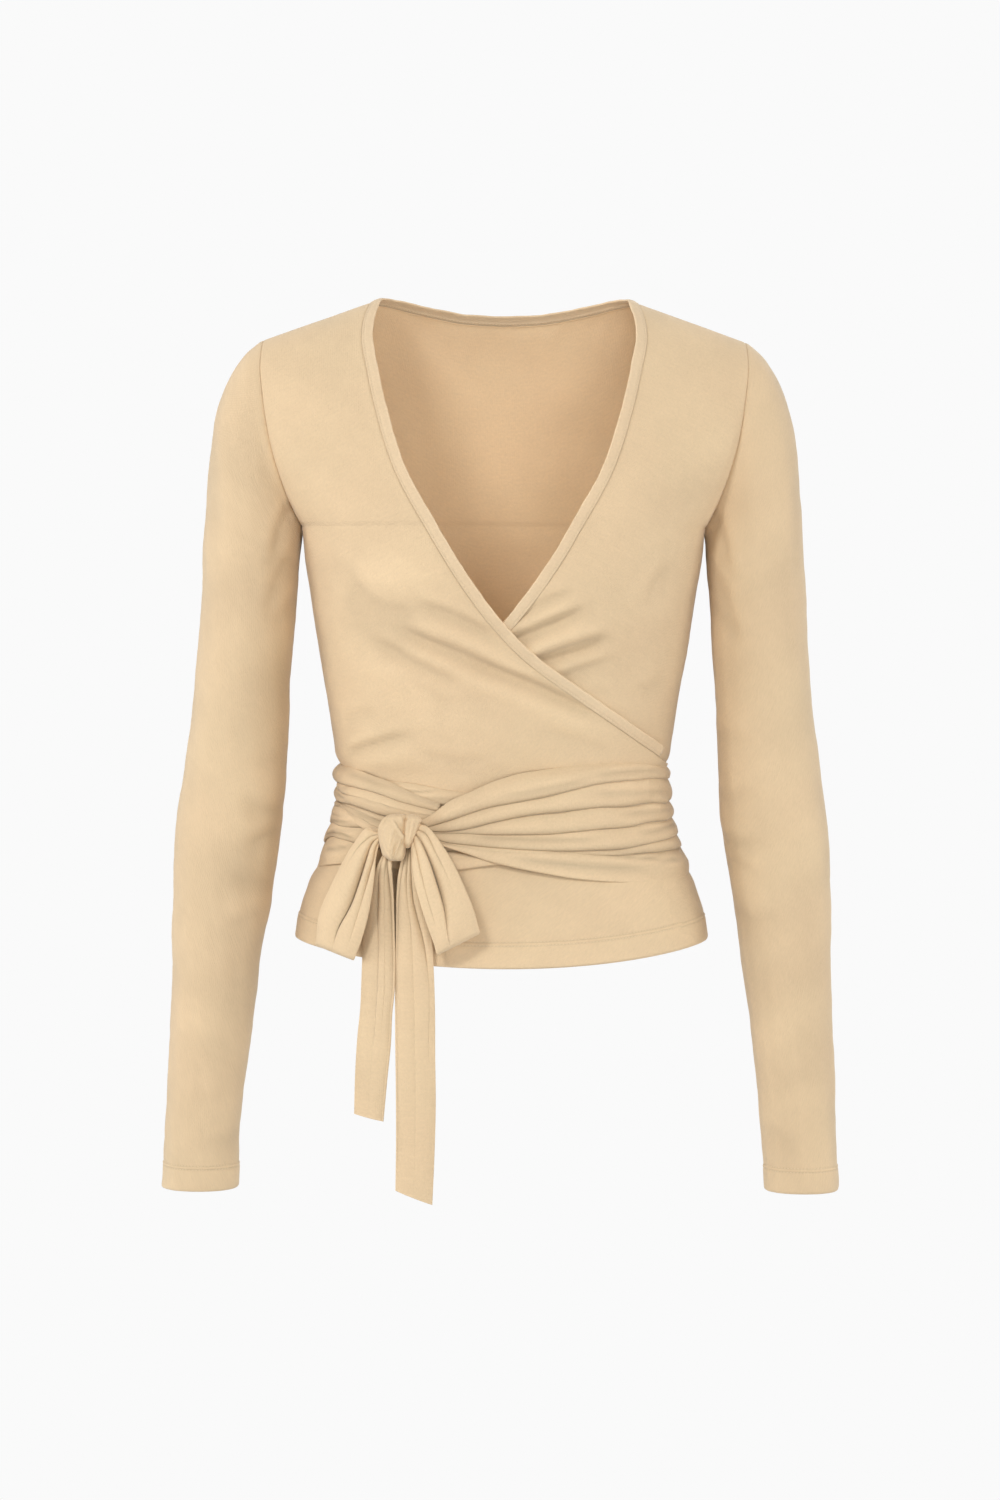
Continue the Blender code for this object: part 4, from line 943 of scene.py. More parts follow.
def make_sleeve(name, arm_folds, right, seed):
    """One sleeve: the ring surface with its folds, the ditches of armhole and underarm seam, and the cuff."""
    grid, turned = sleeve_grid()
    z, down = grid[..., 2], run_of(grid, 0)
    above = down[-1] - down
    across = turned * ARM_MM + 0 * z
    calm = ease(down / CALM_ARMHOLE)
    out = folds(across, z, unrolled(arm_folds, ARM_MM))
    out += uneven(across, z, seed, *ARM_RIPPLES) * calm
    out -= ARM_DITCH * bell((turned - 180) * ARM_MM, 1.6) + ARMHOLE_DITCH * bell(down, SEAM_DITCH_WIDE)
    out += CAP_SWELL * bell(down - CAP_SWELL_AT, 3.0) + hem_relief(across, above, seed + 2)
    item, outer, normal = panel(name, grid, outward(grid, around=True), out, out, calm, above,
                                turned=right, around=True)
    return item, stitch_lines(outer, normal, above[:, 0], around=True)


# ---- Ties
# Each turn: the heights of its edges and fold lines at angles round the waist, 0 in front and 90 at the left
# side, and how firmly each line is pressed.
FIRST_TURN = table("angle top g1 g2 g3 bottom", [
    (-180, -345, -359, -373, -387, -401), (-135, -345, -359, -374, -389, -406),
    (-92, -344, -359, -372.4, -387, -407), (-72, -342, -358.6, -371.6, -380.4, -402.2),
    (-58, -340.4, -357.5, -372, -382.4, -399.4), (-42, -338.9, -353, -372, -386, -399.4),
    (-31, -340.2, -350, -372, -386, -400), (-12, -345.6, -356, -372, -386, -400),
    (0, -345.8, -358, -371, -384, -395.4), (60, -345, -358, -371, -384, -396),
    (120, -345, -358, -371, -384, -397), (180, -345, -359, -373, -387, -401),
])
FIRST_FIRM = table("angle g1 g2 g3 bottom", [
    (-180, 0.8, 1, 0.9, 0.8), (-110, 0.5, 1, 1, 0.5), (-75, 0.7, 1, 1, 0.4), (-50, 0.6, 1, 0.8, 0.5),
    (0, 0.8, 0.8, 0.9, 1), (90, 1, 0.9, 0.8, 1), (140, 0.9, 0.6, 1, 1), (180, 0.8, 1, 0.9, 1),
])
SECOND_TURN = table("angle top a b c d e bottom", [
    (-27.5, -369.8, -371.8, -373.2, -374.4, -375.8, -376.8, -377.8),
    (-21, -362.6, -368.6, -372.8, -374.6, -377, -378.2, -379.4),
    (-14, -351.1, -363.3, -371.8, -373.9, -380.6, -382.4, -384.4),
    (-9, -345.8, -359.3, -370, -373.4, -382.1, -384.6, -387.8),
    (-3, -338.9, -354.8, -366.6, -373.9, -383.5, -386.8, -393),
    (3, -332.8, -351, -362.6, -373.9, -384.5, -387.5, -397.9),
    (10, -329.9, -347.6, -359.5, -373.5, -385.4, -387.9, -401.9),
    (18, -327.6, -343.5, -357.5, -372.3, -386.1, -388.4, -405.8),
    (28, -325.1, -339.4, -356, -371.3, -385.6, -389.2, -408.6),
    (40, -323.3, -336.7, -354.8, -369.5, -384.8, -389.5, -410.6),
    (52, -323.1, -336, -354, -367.7, -382.6, -388.3, -411.7),
    (62, -324.2, -336.2, -354, -366.9, -381, -387.6, -412.2),
    (72, -325.9, -336.8, -354.5, -366.4, -380, -388.1, -412.9),
    (88, -328.5, -338.2, -354.8, -366.2, -379, -388, -412.6),
    (120, -328, -340, -352, -363, -375, -386, -407), (150, -329, -340, -351, -362, -373, -382, -398),
    (180, -330, -339, -348, -357, -366, -375, -389), (210, -330, -338, -345.5, -353, -360, -367, -378),
    (240, -329.5, -339, -344.5, -350.5, -355.5, -360, -367),
    (266, -328.4, -340.6, -344.8, -353.6, -355.2, -356.6, -358.6),
    (280, -329.6, -341.3, -346.1, -354.8, -356.2, -357.4, -359.2),
    (295, -331.2, -342.3, -349.1, -355.3, -358.6, -361, -364.6),
    (302, -332.7, -343.3, -350.4, -356.4, -360.6, -364, -368.6),
    (310, -335.8, -345.1, -352, -358.5, -363.5, -368, -373.8),
    (318, -338.8, -347.9, -354.8, -361.6, -367, -372, -378),
    (325, -343, -351.4, -357.7, -364, -369.6, -373.6, -378.6),
    (332, -347.7, -354.6, -359.8, -365.2, -369.6, -373, -377.4),
    (341.5, -354, -359, -362.6, -366.2, -369.2, -371.8, -374.6),
])
SECOND_FIRM = table("angle a b c d e bottom", [
    (-27, 1, 1, 0.6, 1, 0.5, 1), (-9, 1, 1, 0.8, 0.9, 0.3, 0.9), (3, 1, 1, 1, 0.9, 0.1, 0.7),
    (14, 0.9, 1, 1, 1, 0, 0.55), (24, 0.6, 1, 0.9, 1, 0.3, 0.45), (40, 0.75, 0.9, 0.9, 0.9, 0.9, 0.4),
    (56, 0.55, 0.85, 0.9, 0.9, 1, 0.4), (70, 0.6, 0.9, 1, 0.8, 0.9, 0.4), (90, 1, 1, 0.9, 0.9, 0.6, 0.4),
    (110, 0.9, 1, 0.5, 1, 0.4, 0.6), (150, 1, 0.6, 0.9, 0.9, 0.7, 0.7), (200, 0.8, 1, 0.9, 0.5, 0.9, 0.8),
    (250, 1, 0.8, 1, 0.6, 0.3, 0.9), (270, 1, 0.9, 1, 0.2, 0, 0.8), (285, 0.8, 0.9, 1, 0.5, 0, 0.5),
    (297, 0.7, 0.5, 1, 0.3, 0.1, 0.5), (310, 0.8, 0, 1, 0.2, 0.2, 0.5), (342, 0.8, 0.2, 1, 0.3, 0.3, 0.7),
])
FIRST_OUT, SECOND_OUT, SECOND_OUT_AT_KNOT = 4.6, 7.2, 12.0
RISE_START, RISE_RUN = math.radians(-3), math.radians(13)
FIRST_COLUMNS, SECOND_COLUMNS = 344, 400
# How far each turn's upper edge rolls in to the body, and the height over which it does.
FIRST_ROLL, FIRST_ROLL_TALL, SECOND_ROLL, SECOND_ROLL_TALL = 1.8, 3.5, 2.6, 3.2
# The first turn at the right hip: how much fuller it is, at which angle and how widely, and from and down to
# which height.
HIP_FULL, HIP_AT, HIP_WIDE, HIP_TOP, HIP_BOTTOM = 3.4, -88, 40, -352, -405
FIRST_RELIEF, SECOND_RELIEF = 2.5, 4.4
# How far the second turn's lower edge falls in to the body where no first turn lies under it.
HANG_IN = table("angle in", [
    (-27, 0), (0, 1.2), (14, 3.4), (30, 5), (60, 6), (100, 5.6), (140, 3.8), (180, 1.6), (220, 1), (342, 0),
])
# A roll: its relief as a share of its height, how far its lip hangs, how far the cloth steps in under it
# and the shade there.
ROLL_SHARE, LIP, TUCK, TUCK_SHADE = 0.36, 1.2, 1.2, 4.6
# Shades of every pleat, of a fold line and of the lip above it.
PLEAT_SHADE, LINE_SHADE, LIP_SHADE = 0.7, 2.2, 1.3
# Ripples, how high and how long, of the fold lines, of how firm they are and of the tie's surface.
LINE_SWAY, FIRM_SWAY, TIE_RIPPLE = (0.5, 55.0), (0.08, 70.0), (0.22, 26.0)
TIE_THICK = 1.0
# Length round the waist for each degree.
WAIST_MM = 2.05
# Places across a pleat, closer where it turns over.
PLEAT_SHARES = np.array([0, 0.03, 0.08, 0.15, 0.25, 0.36, 0.48, 0.6, 0.71, 0.81, 0.89, 0.95, 1.0])
# Fine creases on each turn: angle in degrees and height, then depth and width.
SECOND_CREASES = fold_table([
    (28, -334, 48, -331, 78, -333, 0.6, 2.2), (-4, -350, 12, -342, 30, -335, 0.5, 2.2),
    (-12, -376, 10, -379, 36, -378, 0.7, 2.2), (26, -389.5, 52, -394.5, 84, -399.5, 0.7, 1),
    (46, -376, 66, -374, 92, -371, 0.8, 2), (-2, -391, 22, -397, 56, -402, 0.7, 3),
    (22, -346, 50, -346.5, 84, -347.5, 0.5, 2.6), (96, -346, 130, -346, 168, -344, 0.6, 2.4),
    (36, -362, 60, -361, 92, -361, 0.6, 2.2), (120, -386, 160, -379, 204, -369, 0.9, 2.6),
    (210, -350, 240, -347, 268, -343, 0.5, 2), (278, -351, 286, -351.6, 296, -353.2, 0.9, 1),
    (300, -361, 312, -366, 324, -370, 0.6, 1.8), (292, -335, 306, -338, 324, -346, 0.5, 2.2),
    (130, -359, 170, -354, 206, -350, 0.5, 2.2),
])
FIRST_CREASES = fold_table([
    (-90, -372.4, -76, -370.2, -56, -370.4, 1, 1.1), (-94, -367.5, -80, -366.2, -64, -367, 0.6, 1.6),
    (-92, -384.5, -72, -378.6, -52, -382.4, 1.3, 1.2), (-80, -378.4, -70, -376.6, -58, -377.2, 0.6, 1.4),
    (-78, -391.6, -68, -389.6, -54, -387, 0.9, 1.6), (-40, -342.2, -30, -345.6, -19, -344.2, 0.8, 1),
    (-30, -350, -10, -351, 6, -352, 0.5, 2), (-18, -388.8, -12, -387.6, -6, -389.6, 1, 1),
    (150, -394, 172, -396, 196, -394, 0.7, 3), (-170, -393, -140, -397, -112, -398, 0.6, 3),
])


def waist(angle, z, out):
    """Point at an angle round the waist, a distance out from it, on the same rounded section as the body."""
    half = look(WAIST, "half", z) + out
    depth = np.where(np.cos(angle) > 0, look(WAIST, "front", z), look(WAIST, "back", z)) + out
    x, y = (np.abs(way) ** (2 / SECTION_ROUND) * np.sign(way) for way in (np.sin(angle), np.cos(angle)))
    return np.stack([half * x, -depth * y, z + 0 * half * x], -1)


def roll(part):
    """Section of a soft roll by its share of height above its lower line: 0.4 (1 - p) + 0.72 sin(pi p^0.62)
    ^0.85, so it stands out most at a third of its height and turns in under that to its lip."""
    return 0.4 * (1 - part) + 0.72 * np.sin(math.pi * np.clip(part, 0, 1) ** 0.62) ** 0.85


def wound(lines, firm, angle, relief, creases, seed):
    """Heights of a pleated tie wound round the waist, how far they stand out, and their painted light. Above
    each fold line the cloth swells into a soft roll. Its lip hangs a little over the line, where the surface
    steps in under it. Where a line isn't firm, the next roll reaches past it. The painted light follows the
    relief as a painted highlight on the rolls, and its painted shade is deepest along the fold lines, where
    little light gets in, and in the fine creases."""
    degrees = np.degrees(angle)
    names = [name for name in lines if name != "angle"]
    line = np.stack([look(lines, name, degrees) for name in names])
    line[1:-1] += ripple(degrees * 2, np.arange(len(names) - 2)[:, None] * 40, *LINE_SWAY, seed)
    line = np.minimum.accumulate(line - 1e-3 * np.arange(len(line))[:, None], 0)
    hold = np.stack([look(firm, name, degrees) for name in names[1:]])
    hold += ripple(degrees * 2, np.arange(len(hold))[:, None] * 50, *FIRM_SWAY, seed + 1)
    hold = np.clip(hold, 0, 1)
    tall = line[:-1] - line[1:]
    reach = tall.copy()
    for k in range(1, len(tall)):
        reach[k] += (1 - hold[k - 1]) * reach[k - 1]
    swell = np.minimum(relief, ROLL_SHARE * reach)
    rows, heights, painted_shading_rows = [], [], []
    for k in range(len(tall)):
        tuck, lowest = hold[k - 1] if k else 0, k == len(tall) - 1
        for share in PLEAT_SHARES:
            past, below = tall[k] * share, tall[k] * (1 - share)
            z = line[k] - past
            high = 0 * z
            for j in range(k, len(tall)):
                part = np.clip((z - line[j + 1]) / reach[j], 0, 1)
                high += hold[j] * swell[j] * roll(part) * (part < 1)
            # Painted shade under each lip, over every pleat and along each fold line.
            dark = TUCK_SHADE * tuck * bell(past, 0.9) + PLEAT_SHADE * (1 - share * lowest)
            if not lowest:
                dark += hold[k] * (LINE_SHADE * bell(below, 0.5) + LIP_SHADE * bell(below, 2.2))
            rows.append(z - LIP * hold[k] * bell(below, 1.2) * ease(tall[k] / 6))
            heights.append(high - TUCK * tuck * bell(past, 1.4))
            painted_shading_rows.append(high / relief * 0.9 - dark)
    z, across = np.stack(rows), degrees * WAIST_MM
    fine = folds(across + 0 * z, z, unrolled(creases, WAIST_MM))
    high = np.stack(heights) + fine + ripple(across, z, *TIE_RIPPLE, seed + 2)
    # Painted shade in the fine creases as well.
    return z, high, np.stack(painted_shading_rows) + 2.5 * fine


def make_first_turn():
    """First turn of the ties: a closed pleated belt, pressed flat where the second turn covers it and fuller
    at the right hip, where it holds the ends' seams."""
    angle = np.linspace(-math.pi, math.pi, FIRST_COLUMNS, endpoint=False)
    z, high, painted_shading = wound(FIRST_TURN, FIRST_FIRM, angle, FIRST_RELIEF, FIRST_CREASES, 61)
    degrees = np.degrees(angle)
    turned = np.where(degrees < -26, degrees + 360, degrees)
    top, bottom = (look(SECOND_TURN, name, turned) for name in ("top", "bottom"))
    covered = ease((top - z) / 5) * ease((z - bottom) / 5)
    full = HIP_FULL * bell(degrees - HIP_AT, HIP_WIDE) * ease((HIP_TOP - z) / 10)
    full *= ease((z - HIP_BOTTOM) / 16)
    lean = FIRST_ROLL * bell(z[0] - z, FIRST_ROLL_TALL) + 1.2 * ease((z[-1] + 9 - z) / 9)
    grid = waist(angle, z, FIRST_OUT - 1.2 * covered + (high + full - lean) * (1 - 0.85 * covered))
    return cloth("wrap_inner", grid, np.full(z.shape, TIE_THICK), "ties", around=True, painted_shading=painted_shading)


def make_second_turn():
    """Second turn: one unbroken ribbon from the knot round the left side and back, and to the knot again. Its
    upper edge rolls in to the body, and its lower one hangs in where nothing lies under it."""
    angle = np.radians(np.linspace(*SECOND_TURN["angle"][[0, -1]], SECOND_COLUMNS))
    rise = (SECOND_OUT_AT_KNOT - SECOND_OUT) * ease((RISE_START - angle) / RISE_RUN)
    z, high, painted_shading = wound(SECOND_TURN, SECOND_FIRM, angle, SECOND_RELIEF, SECOND_CREASES, 71)
    degrees = np.degrees(angle)
    free = ease((degrees + 8) / 12) * ease((332 - degrees) / 14)
    lean = SECOND_ROLL * free * bell(z[0] - z, SECOND_ROLL_TALL)
    lean += look(HANG_IN, "in", degrees) * ease((z[-1] + 15 - z) / 15)
    grid = waist(angle, z, SECOND_OUT + rise + high - lean)
    return cloth("tie_outer", grid, np.full(z.shape, TIE_THICK), "ties",
                 ("tie_front", "tie_back", "tie_left"), painted_shading=painted_shading)


# ---- Bow
# Each lobe of the knot: height, then its left and right side and how far it stands out before its middle.
OVER_KNOT = table("z left right deep", [
    (-360.8, -79.4, -71.2, 3.5), (-362.2, -82.4, -69, 6.8), (-365, -85.6, -68.8, 9.2),
    (-368.5, -88.2, -69.4, 10.8), (-374, -89.3, -69.9, 11.4), (-380.7, -88.4, -69.4, 11.6),
    (-386.4, -86.8, -69.6, 11), (-390.6, -84.8, -70.2, 9.4), (-392.4, -82.4, -71, 7.2),
    (-393.8, -80.4, -72.2, 3.6),
])
UNDER_KNOT = table("z left right deep", [
    (-360.6, -68.6, -64.4, 2.5), (-362, -70, -60.8, 5.8), (-364.6, -70.4, -58.2, 7.6),
    (-367.1, -71.4, -59.4, 8.6), (-371.5, -71.6, -60.9, 9), (-377, -71.4, -63.1, 8.6),
    (-381.6, -70.8, -65, 6.6), (-384.6, -69.6, -66.6, 2.5),
])
KNOT_OUT, KNOT_BACK = 24.6, 7.5
KNOT_ROWS, KNOT_COLUMNS, KNOT_END, KNOT_THICK, KNOT_CREASE, KNOT_SHADE = 64, 88, 0.05, 0.6, 0.95, 4.6
# Creases on the knot, across and up, which gather where it is drawn tightest.
OVER_CREASES = fold_table([
    (-79.4, -361.6, -84.3, -368, -86.9, -375.6, 1.2, 0.7),
    (-79, -363.6, -73.4, -372.6, -69.4, -382.4, 2.2, 0.7),
    (-74.8, -371.6, -78.4, -384.6, -77.5, -391.4, 1.5, 0.6),
    (-71.4, -375, -75.2, -384.4, -76.9, -391.4, 1.9, 0.6),
    (-83.4, -382, -79.4, -388, -77.6, -393, 1.4, 0.7),
    (-81.6, -360.4, -86.2, -366.2, -88, -372.8, 0.8, 0.7),
    (-76.4, -359, -83.4, -371.4, -81.2, -386.6, 0.9, 1.2),
    (-86.4, -378, -82.4, -387.4, -78.6, -392.6, 1, 0.8), (-73.8, -359.4, -70.8, -368, -69.6, -376, 0.8, 1),
    (-76.4, -368, -79.6, -378, -79.4, -388.6, 1, 0.8),
])
UNDER_CREASES = fold_table([
    (-65.2, -360.6, -68, -368, -68.4, -377.6, 1.1, 0.8),
    (-62.2, -361.6, -64.6, -369.6, -66.6, -380, 0.9, 0.8),
    (-60.4, -364.4, -62.4, -371.6, -65, -379, 0.6, 0.8),
])
# Each loop from the knot to its lower end: both its edges, and how far its front and back lie off the body.
LOOP_LEFT = table("outer_x outer_z inner_x inner_z front back", [
    (-89.9, -374.5, -89.3, -383.5, 24, 20.5), (-98.5, -372.5, -91, -393.4, 25, 18),
    (-105.4, -380.6, -91.6, -404.8, 25, 15.5), (-113.8, -394.2, -93.2, -417.7, 24.5, 14),
    (-123.1, -412.8, -96.2, -434.9, 23.5, 13.5), (-131.5, -432.5, -100.8, -451.5, 21.5, 13.5),
    (-133.6, -450, -104.6, -461.5, 19.5, 14),
])
LOOP_RIGHT = table("outer_x outer_z inner_x inner_z front back", [
    (-59.4, -367.2, -65.4, -380.6, 24.5, 20.5), (-52.4, -370.6, -64.6, -392.6, 25.8, 18.5),
    (-43.6, -381.6, -62.4, -407.6, 26, 16.5), (-35.1, -394.8, -59, -420.4, 25, 15),
    (-27.1, -411, -54.2, -435.5, 24, 14), (-20.2, -427.4, -49.4, -448.6, 22, 13.5),
    (-16.8, -439.5, -47, -456.5, 20, 14),
])
TAIL_LEFT = table("z left right out", [
    (-386, -84, -78, 19), (-394.5, -88, -79.2, 22.5), (-405, -92.5, -78.8, 17.5),
    (-418, -95.5, -77.9, 11.5), (-432, -98, -77.4, 8.5), (-446, -99.6, -76.8, 8),
    (-471, -100.4, -76.2, 8.5), (-486, -100.9, -76.6, 8.5), (-501, -101.5, -78.2, 8.5),
    (-523, -103.6, -79.2, 8), (-550, -105.2, -81.8, 8), (-579.5, -105.8, -84.5, 8),
])
TAIL_RIGHT = table("z left right out", [
    (-384, -69.5, -64, 19), (-394.4, -72.4, -61.2, 21.5), (-405, -74.6, -58.6, 16.5),
    (-417, -75.7, -56, 10.5), (-432, -76, -52.8, 8), (-447, -76, -50.2, 7.5), (-470, -76.2, -48.6, 8),
    (-493, -76.3, -47.7, 8), (-530, -76, -47.3, 8), (-566, -75.5, -46.8, 7.5), (-601, -75.3, -47.6, 7.5),
    (-636, -75.6, -49, 7.5),
])
TAIL_SLANTS = {"tail_left": 4.4, "tail_right": 9.4}
# Fold lines that run along a ribbon from the knot: how far along (0 to 1), then the share across and the
# depth of each line, from the outer edge inwards. The cloth drops sharply past a line and rises softly to it.
LOOP_LEFT_LINES = table("reach f1 d1 f2 d2 f3 d3", [
    (0, 0.22, 1.8, 0.48, 3, 0.8, 3), (0.17, 0.31, 2.2, 0.58, 5.4, 0.92, 3.8),
    (0.33, 0.19, 1, 0.585, 6.6, 0.84, 4), (0.5, 0.15, 0.2, 0.6, 7, 0.81, 2.8),
    (0.67, 0.15, 0, 0.58, 5.2, 0.78, 1.2), (0.83, 0.15, 0, 0.5, 3, 0.78, 0.4),
    (1, 0.15, 0, 0.44, 1.2, 0.78, 0.1),
])
LOOP_RIGHT_LINES = table("reach f1 d1 f2 d2 f3 d3", [
    (0, 0.3, 2, 0.52, 2.8, 0.78, 2.4), (0.17, 0.2, 2.6, 0.46, 5, 0.74, 2.2),
    (0.33, 0.22, 1.4, 0.46, 6.4, 0.76, 1.2), (0.5, 0.22, 0.3, 0.51, 6.6, 0.8, 0.4),
    (0.67, 0.22, 0, 0.555, 4.2, 0.82, 0.1), (0.83, 0.22, 0, 0.65, 1.4, 0.84, 0),
    (1, 0.22, 0, 0.68, 0.3, 0.84, 0),
])
TAIL_LEFT_LINES = table("reach f1 d1 f2 d2 f3 d3", [
    (0, 0.2, 1.8, 0.48, 2.6, 0.7, 2.4), (0.06, 0.26, 1.8, 0.55, 1.6, 0.74, 3.2),
    (0.12, 0.34, 2.2, 0.6, 0.6, 0.84, 3.6), (0.19, 0.4, 2, 0.62, 0.2, 0.9, 3),
    (0.32, 0.48, 0.9, 0.66, 0, 0.94, 1.8), (0.6, 0.5, 0.2, 0.7, 0, 0.94, 0.4),
    (1, 0.5, 0.1, 0.7, 0, 0.92, 0.1),
])
TAIL_RIGHT_LINES = table("reach f1 d1 f2 d2 f3 d3", [
    (0, 0.26, 2.2, 0.5, 2.8, 0.76, 2.4), (0.06, 0.22, 2.2, 0.44, 3, 0.66, 3),
    (0.11, 0.16, 1.6, 0.4, 2, 0.62, 3.2), (0.17, 0.1, 1, 0.4, 0.8, 0.62, 3.4),
    (0.21, 0.08, 0.8, 0.42, 0.4, 0.68, 3.2), (0.26, 0.07, 0.6, 0.44, 0.3, 0.76, 2.6),
    (0.33, 0.06, 0.4, 0.46, 0.2, 0.84, 1), (0.55, 0.06, 0.2, 0.5, 0.2, 0.84, 0.1),
    (1, 0.06, 0.1, 0.5, 0.1, 0.84, 0),
])
RIBBON_THICK, LOOP_FULL, TAIL_FULL = 1.4, 3.4, 1.8
LOOP_FRONT_ROWS, LOOP_BACK_ROWS, LOOP_BEND_ROWS, TAIL_ROWS = 84, 40, 16, 130
# Depth of a fold line past which its shade grows no darker, and the shades before and after a line and of the
# slope down to it.
DARKEST, CREASE_SHADE, FOOT_SHADE, SLOPE_SHADE = 2.4, 2.4, 0.9, 0.36


def pleated(reach, wide, lines, full):
    """Shares across a ribbon, its relief and its painted shade. The ribbon swells by full x (1 - |2 s -
    1|^2.6), and near the knot each strand between two lines by a tenth of its width more. At each fold line
    it lies in by the line's depth x exp(-d / 0.45 mm) after the line and x exp(-(d / soft)^1.2) before it,
    where soft grows from 1.3 mm at the knot to 4.9 mm. Its painted shade is darkest just before a line, more
    so where that is deep."""
    marks = [name for name in lines if name[0] == "f"]
    place = [0 * reach] + [look(lines, f, reach) for f in marks] + [0 * reach + 1]
    deep = [0 * reach] + [look(lines, "d" + f[1:], reach) for f in marks] + [0 * reach]
    soft = 1.3 + np.clip(reach, 0, 0.6) * 6
    shares, relief, shade = [], [], []
    for k in range(len(place) - 1):
        across = (place[k + 1] - place[k]) * wide
        for u in PLEAT_SHARES[min(k, 1):]:
            share = place[k] + (place[k + 1] - place[k]) * u
            after, before = u * across, (1 - u) * across
            slope = deep[k + 1] * np.exp(-(before / soft) ** 1.2)
            strand = 0.1 * across * (1 - reach) * (1 - np.abs(2 * u - 1) ** 2.2)
            swell = full * (1 - np.abs(2 * share - 1) ** 2.6)
            crease = CREASE_SHADE * np.minimum(deep[k + 1], DARKEST) * bell(before, 0.55 + 0.15 * deep[k + 1])
            foot = FOOT_SHADE * np.minimum(deep[k], DARKEST) * bell(after, 0.4)
            shares.append(share)
            relief.append(swell + strand - deep[k] * np.exp(-after / 0.45) - slope)
            shade.append(-(crease + foot + SLOPE_SHADE * slope))
    return np.stack(shares, 1), np.stack(relief, 1), np.stack(shade, 1)


def drape(x, z, out):
    """Point in front of the body at x and z, a distance out from the waist form."""
    depth = (look(WAIST, "front", z) + out) * flank(x / (look(WAIST, "half", z) + out), SECTION_ROUND)
    return np.stack([x, -depth, z], -1)


def ribbon(name, grid, edge, painted_shading, turned=False):
    """End of a tie: a ribbon rounded off, with a painted highlight along its edges."""
    grids = grid, rounded(edge, RIBBON_THICK, 0.8), painted_shading + 0.7 * bell(edge, 1.0)
    grid, thickness, painted_shading = (each[:, ::-1] for each in grids) if turned else grids
    return cloth(name, grid, thickness, "ties", painted_shading=painted_shading)


def make_knot(name, form, creases, seed):
    """One lobe of the knot: rings that follow its outline, drawn forward by deep and back by a fixed depth,
    and drawn together at both ends, with creases where the tie gathers."""
    tip = np.linspace(0, 1, KNOT_ROWS)
    height = form["z"][0] + (form["z"][-1] - form["z"][0]) * (tip - 0.09 * np.sin(TAU * tip))
    left, right, deep = (look(form, column, height)[:, None] for column in ("left", "right", "deep"))
    turn = np.linspace(TAU * 0.75, TAU * 1.75, KNOT_COLUMNS, endpoint=False)
    end = np.clip(np.minimum(tip, 1 - tip) / KNOT_END, 0.001, 1)[:, None]
    tuck = np.sqrt(1 - (1 - end) ** 2)
    deep = deep * tuck
    x = (left + right) / 2 + (right - left) / 2 * tuck * np.cos(turn)
    z = height[:, None] + 0 * x
    facing = np.sin(turn)
    ahead = np.where(facing > 0, deep, np.minimum(deep, KNOT_BACK)) * facing
    relief = KNOT_CREASE * folds(x, z, creases) * np.clip(facing * 3, 0, 1)
    relief += ripple(x * 2, z, 0.08, 9.0, seed)
    points = drape(x, z, KNOT_OUT + 0 * x) + np.stack([0 * x, -ahead, 0 * x], -1)
    outside = outward(points, around=True)
    points = points + outside * (relief * np.minimum(deep / 8, 1))[..., None]
    # Painted shade in the knot's creases and a faint painted highlight where it rises.
    return cloth(name, points, KNOT_THICK * tuck + 0 * x, "ties", around=True, normal=outside,
                 painted_shading=np.clip(relief, -1.2, 0.3) * KNOT_SHADE)


def make_loop(name, form, lines, right, seed):
    """Bow loop: a ribbon that leaves the knot, turns through a half circle at its lower end and comes back
    behind itself, with fold lines that run out from the knot."""
    last = len(form["front"]) - 1
    index = np.arange(last + 1.0)
    front, back = np.linspace(-0.12, last, LOOP_FRONT_ROWS), np.linspace(last, 0.3, LOOP_BACK_ROWS)
    bend = np.linspace(0, math.pi, LOOP_BEND_ROWS + 2)[1:-1]
    along = np.concatenate([front, last + 0.34 * np.sin(bend), back])
    half = (form["front"][-1] - form["back"][-1]) / 2
    out = np.concatenate([smooth(front, index, form["front"]), form["back"][-1] + half * (1 + np.cos(bend)),
                          smooth(back, index, form["back"])])
    edges = []
    for name_of_edge in ("outer_x", "outer_z", "inner_x", "inner_z"):
        values = form[name_of_edge]
        past = np.maximum(along - last, 0) * (values[-1] - values[-2])
        before = np.minimum(along, 0) * (values[1] - values[0])
        edges.append((smooth(along, index, values) + past + before)[:, None])
    outer_x, outer_z, inner_x, inner_z = edges
    wide = np.hypot(inner_x - outer_x, inner_z - outer_z)
    share, relief, shade = pleated(along / last, wide[:, 0], lines, LOOP_FULL)
    facing = np.concatenate([np.ones(len(front)), (1 + np.cos(bend)) / 2, np.zeros(len(back))])[:, None]
    reach = (along / last)[:, None]
    relief = relief * (0.35 + 0.65 * facing) * ease((1.22 - reach) / 0.3)
    relief += ripple(share * wide, reach * 90, 0.35, 24.0, seed) * ease(reach / 0.3)
    relief *= np.sign(facing - 0.5 + 1e-6) * np.abs(2 * facing - 1) ** 0.5
    grid = drape(outer_x + (inner_x - outer_x) * share, outer_z + (inner_z - outer_z) * share,
                 out[:, None] + relief)
    # Painted highlight where the front stands proud, painted shade along the fold lines.
    painted_shading = np.clip(relief * (2 * facing - 1), -1, 1.5) * 0.3 + shade * ease((1.1 - reach) / 0.3)
    return ribbon(name, grid, np.minimum(share, 1 - share) * wide, painted_shading, turned=right)


